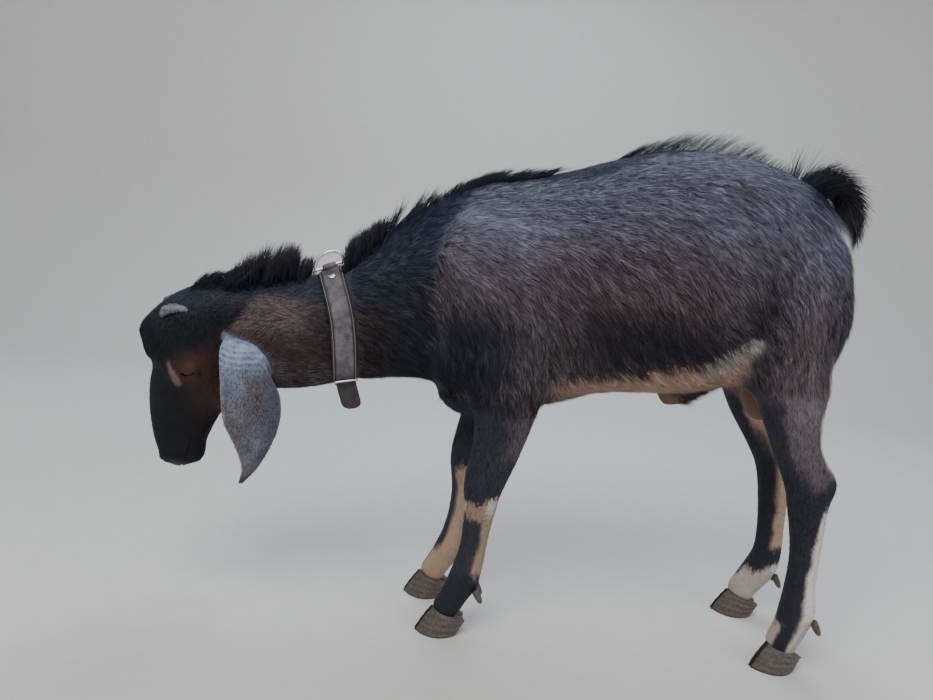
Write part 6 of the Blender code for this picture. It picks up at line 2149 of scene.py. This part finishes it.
class GOAT_OT_long_hair(bpy.types.Operator):
    """Grow mane, withers, croup fringe, tail and lashes"""
    bl_idname = "goat.long_hair"
    bl_label = "Long hair"

    def execute(self, context):
        hair, colours = context.scene.goat_hair, context.scene.goat_colours
        chance = np.random.default_rng(31)
        half = hair.mane // 2
        mane = crest("mane", (
            (-0.342, -0.288, 16, 620, 0.022, 30, 52, 0.35, 0.6),
            (-0.297, -0.206, 18, half - 300, 0.024, -6, 16, 0.42, 0.7),
            (-0.165, -0.118, 7, half * 2 // 3, 0.024, -16, 10, 0.36, 0.7),
            (-0.126, 0.002, 16, hair.mane - half * 5 // 3 - 320, 0.027, 14, 36, 0.42, 0.75),
        ), hair, colours, chance)
        back = crest("back_hair", (
            (-0.040, 0.088, 30, hair.withers, 0.018, 42, 62, 0.16, 0.7),
            (0.170, 0.400, 160, hair.croup, 0.016, 34, 58, 0.14, 0.34),
        ), hair, colours, chance)
        settle(mane, slot="coat")
        settle(back, slot="coat")
        settle(tail_hair(hair, colours, chance), "tail", slot="coat")
        for side, name in SIDES:
            settle(lashes(side, name, chance), slot="coat")
        return {"FINISHED"}


class GOAT_OT_eyes(bpy.types.Operator):
    """Build both eyes"""
    bl_idname = "goat.eyes"
    bl_label = "Eyes"

    def execute(self, context):
        for side, name in SIDES:
            settle(build_eye(side, name), "eye_" + name, slot="eye")
        return {"FINISHED"}


class GOAT_OT_horns(bpy.types.Operator):
    """Build both horn buds"""
    bl_idname = "goat.horns"
    bl_label = "Horn buds"

    def execute(self, context):
        for side, name in SIDES:
            settle(build_horn(side, name), "horn_" + name, slot="horn_bud")
        return {"FINISHED"}


class GOAT_OT_feet(bpy.types.Operator):
    """Build the claws and dewclaws of all feet"""
    bl_idname = "goat.feet"
    bl_label = "Feet"

    def execute(self, context):
        for leg, (_, leg_side, _, _, turn) in LEGS.items():
            place = foot_place(leg)
            for claw, side in (("outer", leg_side), ("inner", -leg_side)):
                settle(build_claw(f"claw_{leg}_{claw}", place, turn, side), f"hoof_{leg}_{claw}",
                       slot="hoof")
            for side, claw in ((-1, "left"), (1, "right")):
                settle(build_dewclaw(f"small_claw_{leg}_{claw}", leg, side),
                       f"dewclaw_{leg}_{claw}", slot="hoof")
        return {"FINISHED"}


class GOAT_OT_collar(bpy.types.Operator):
    """Build the collar with ring, stud, buckle and loose end"""
    bl_idname = "goat.collar"
    bl_label = "Collar"

    def execute(self, context):
        build_collar(context.scene.goat_collar)
        return {"FINISHED"}


class GOAT_OT_stage(bpy.types.Operator):
    """Build floor, lights and camera"""
    bl_idname = "goat.stage"
    bl_label = "Stage"

    def execute(self, context):
        settle(MADE["skin_piece"], *FLESH_NODES, slot="coat")
        build_stage(context.scene.goat_stage)
        return {"FINISHED"}


OPERATORS = (GOAT_OT_skin, GOAT_OT_coat, GOAT_OT_long_hair, GOAT_OT_eyes, GOAT_OT_horns,
             GOAT_OT_feet, GOAT_OT_collar, GOAT_OT_stage)


class GOAT_PT_panel(bpy.types.Panel):
    """Lists the steps and the sizes of the goat"""
    bl_idname = "GOAT_PT_panel"
    bl_label = "Nubian goat"
    bl_space_type = "VIEW_3D"
    bl_region_type = "UI"
    bl_category = "Goat"

    def draw(self, context):
        for step in OPERATORS:
            self.layout.operator(step.bl_idname)
        for group, kind in SETTINGS.items():
            box = self.layout.box()
            for name in kind.__annotations__:
                box.prop(getattr(context.scene, group), name)


def register():
    for kind in (*SETTINGS.values(), *OPERATORS, GOAT_PT_panel):
        bpy.utils.register_class(kind)
    for name, kind in SETTINGS.items():
        setattr(bpy.types.Scene, name, PointerProperty(type=kind))


def unregister():
    for name in SETTINGS:
        delattr(bpy.types.Scene, name)
    for kind in reversed((*SETTINGS.values(), *OPERATORS, GOAT_PT_panel)):
        bpy.utils.unregister_class(kind)


def main():
    register()
    for step in (bpy.ops.goat.skin, bpy.ops.goat.coat, bpy.ops.goat.long_hair, bpy.ops.goat.eyes,
                 bpy.ops.goat.horns, bpy.ops.goat.feet, bpy.ops.goat.collar, bpy.ops.goat.stage):
        step()


if __name__ == "__main__":
    main()
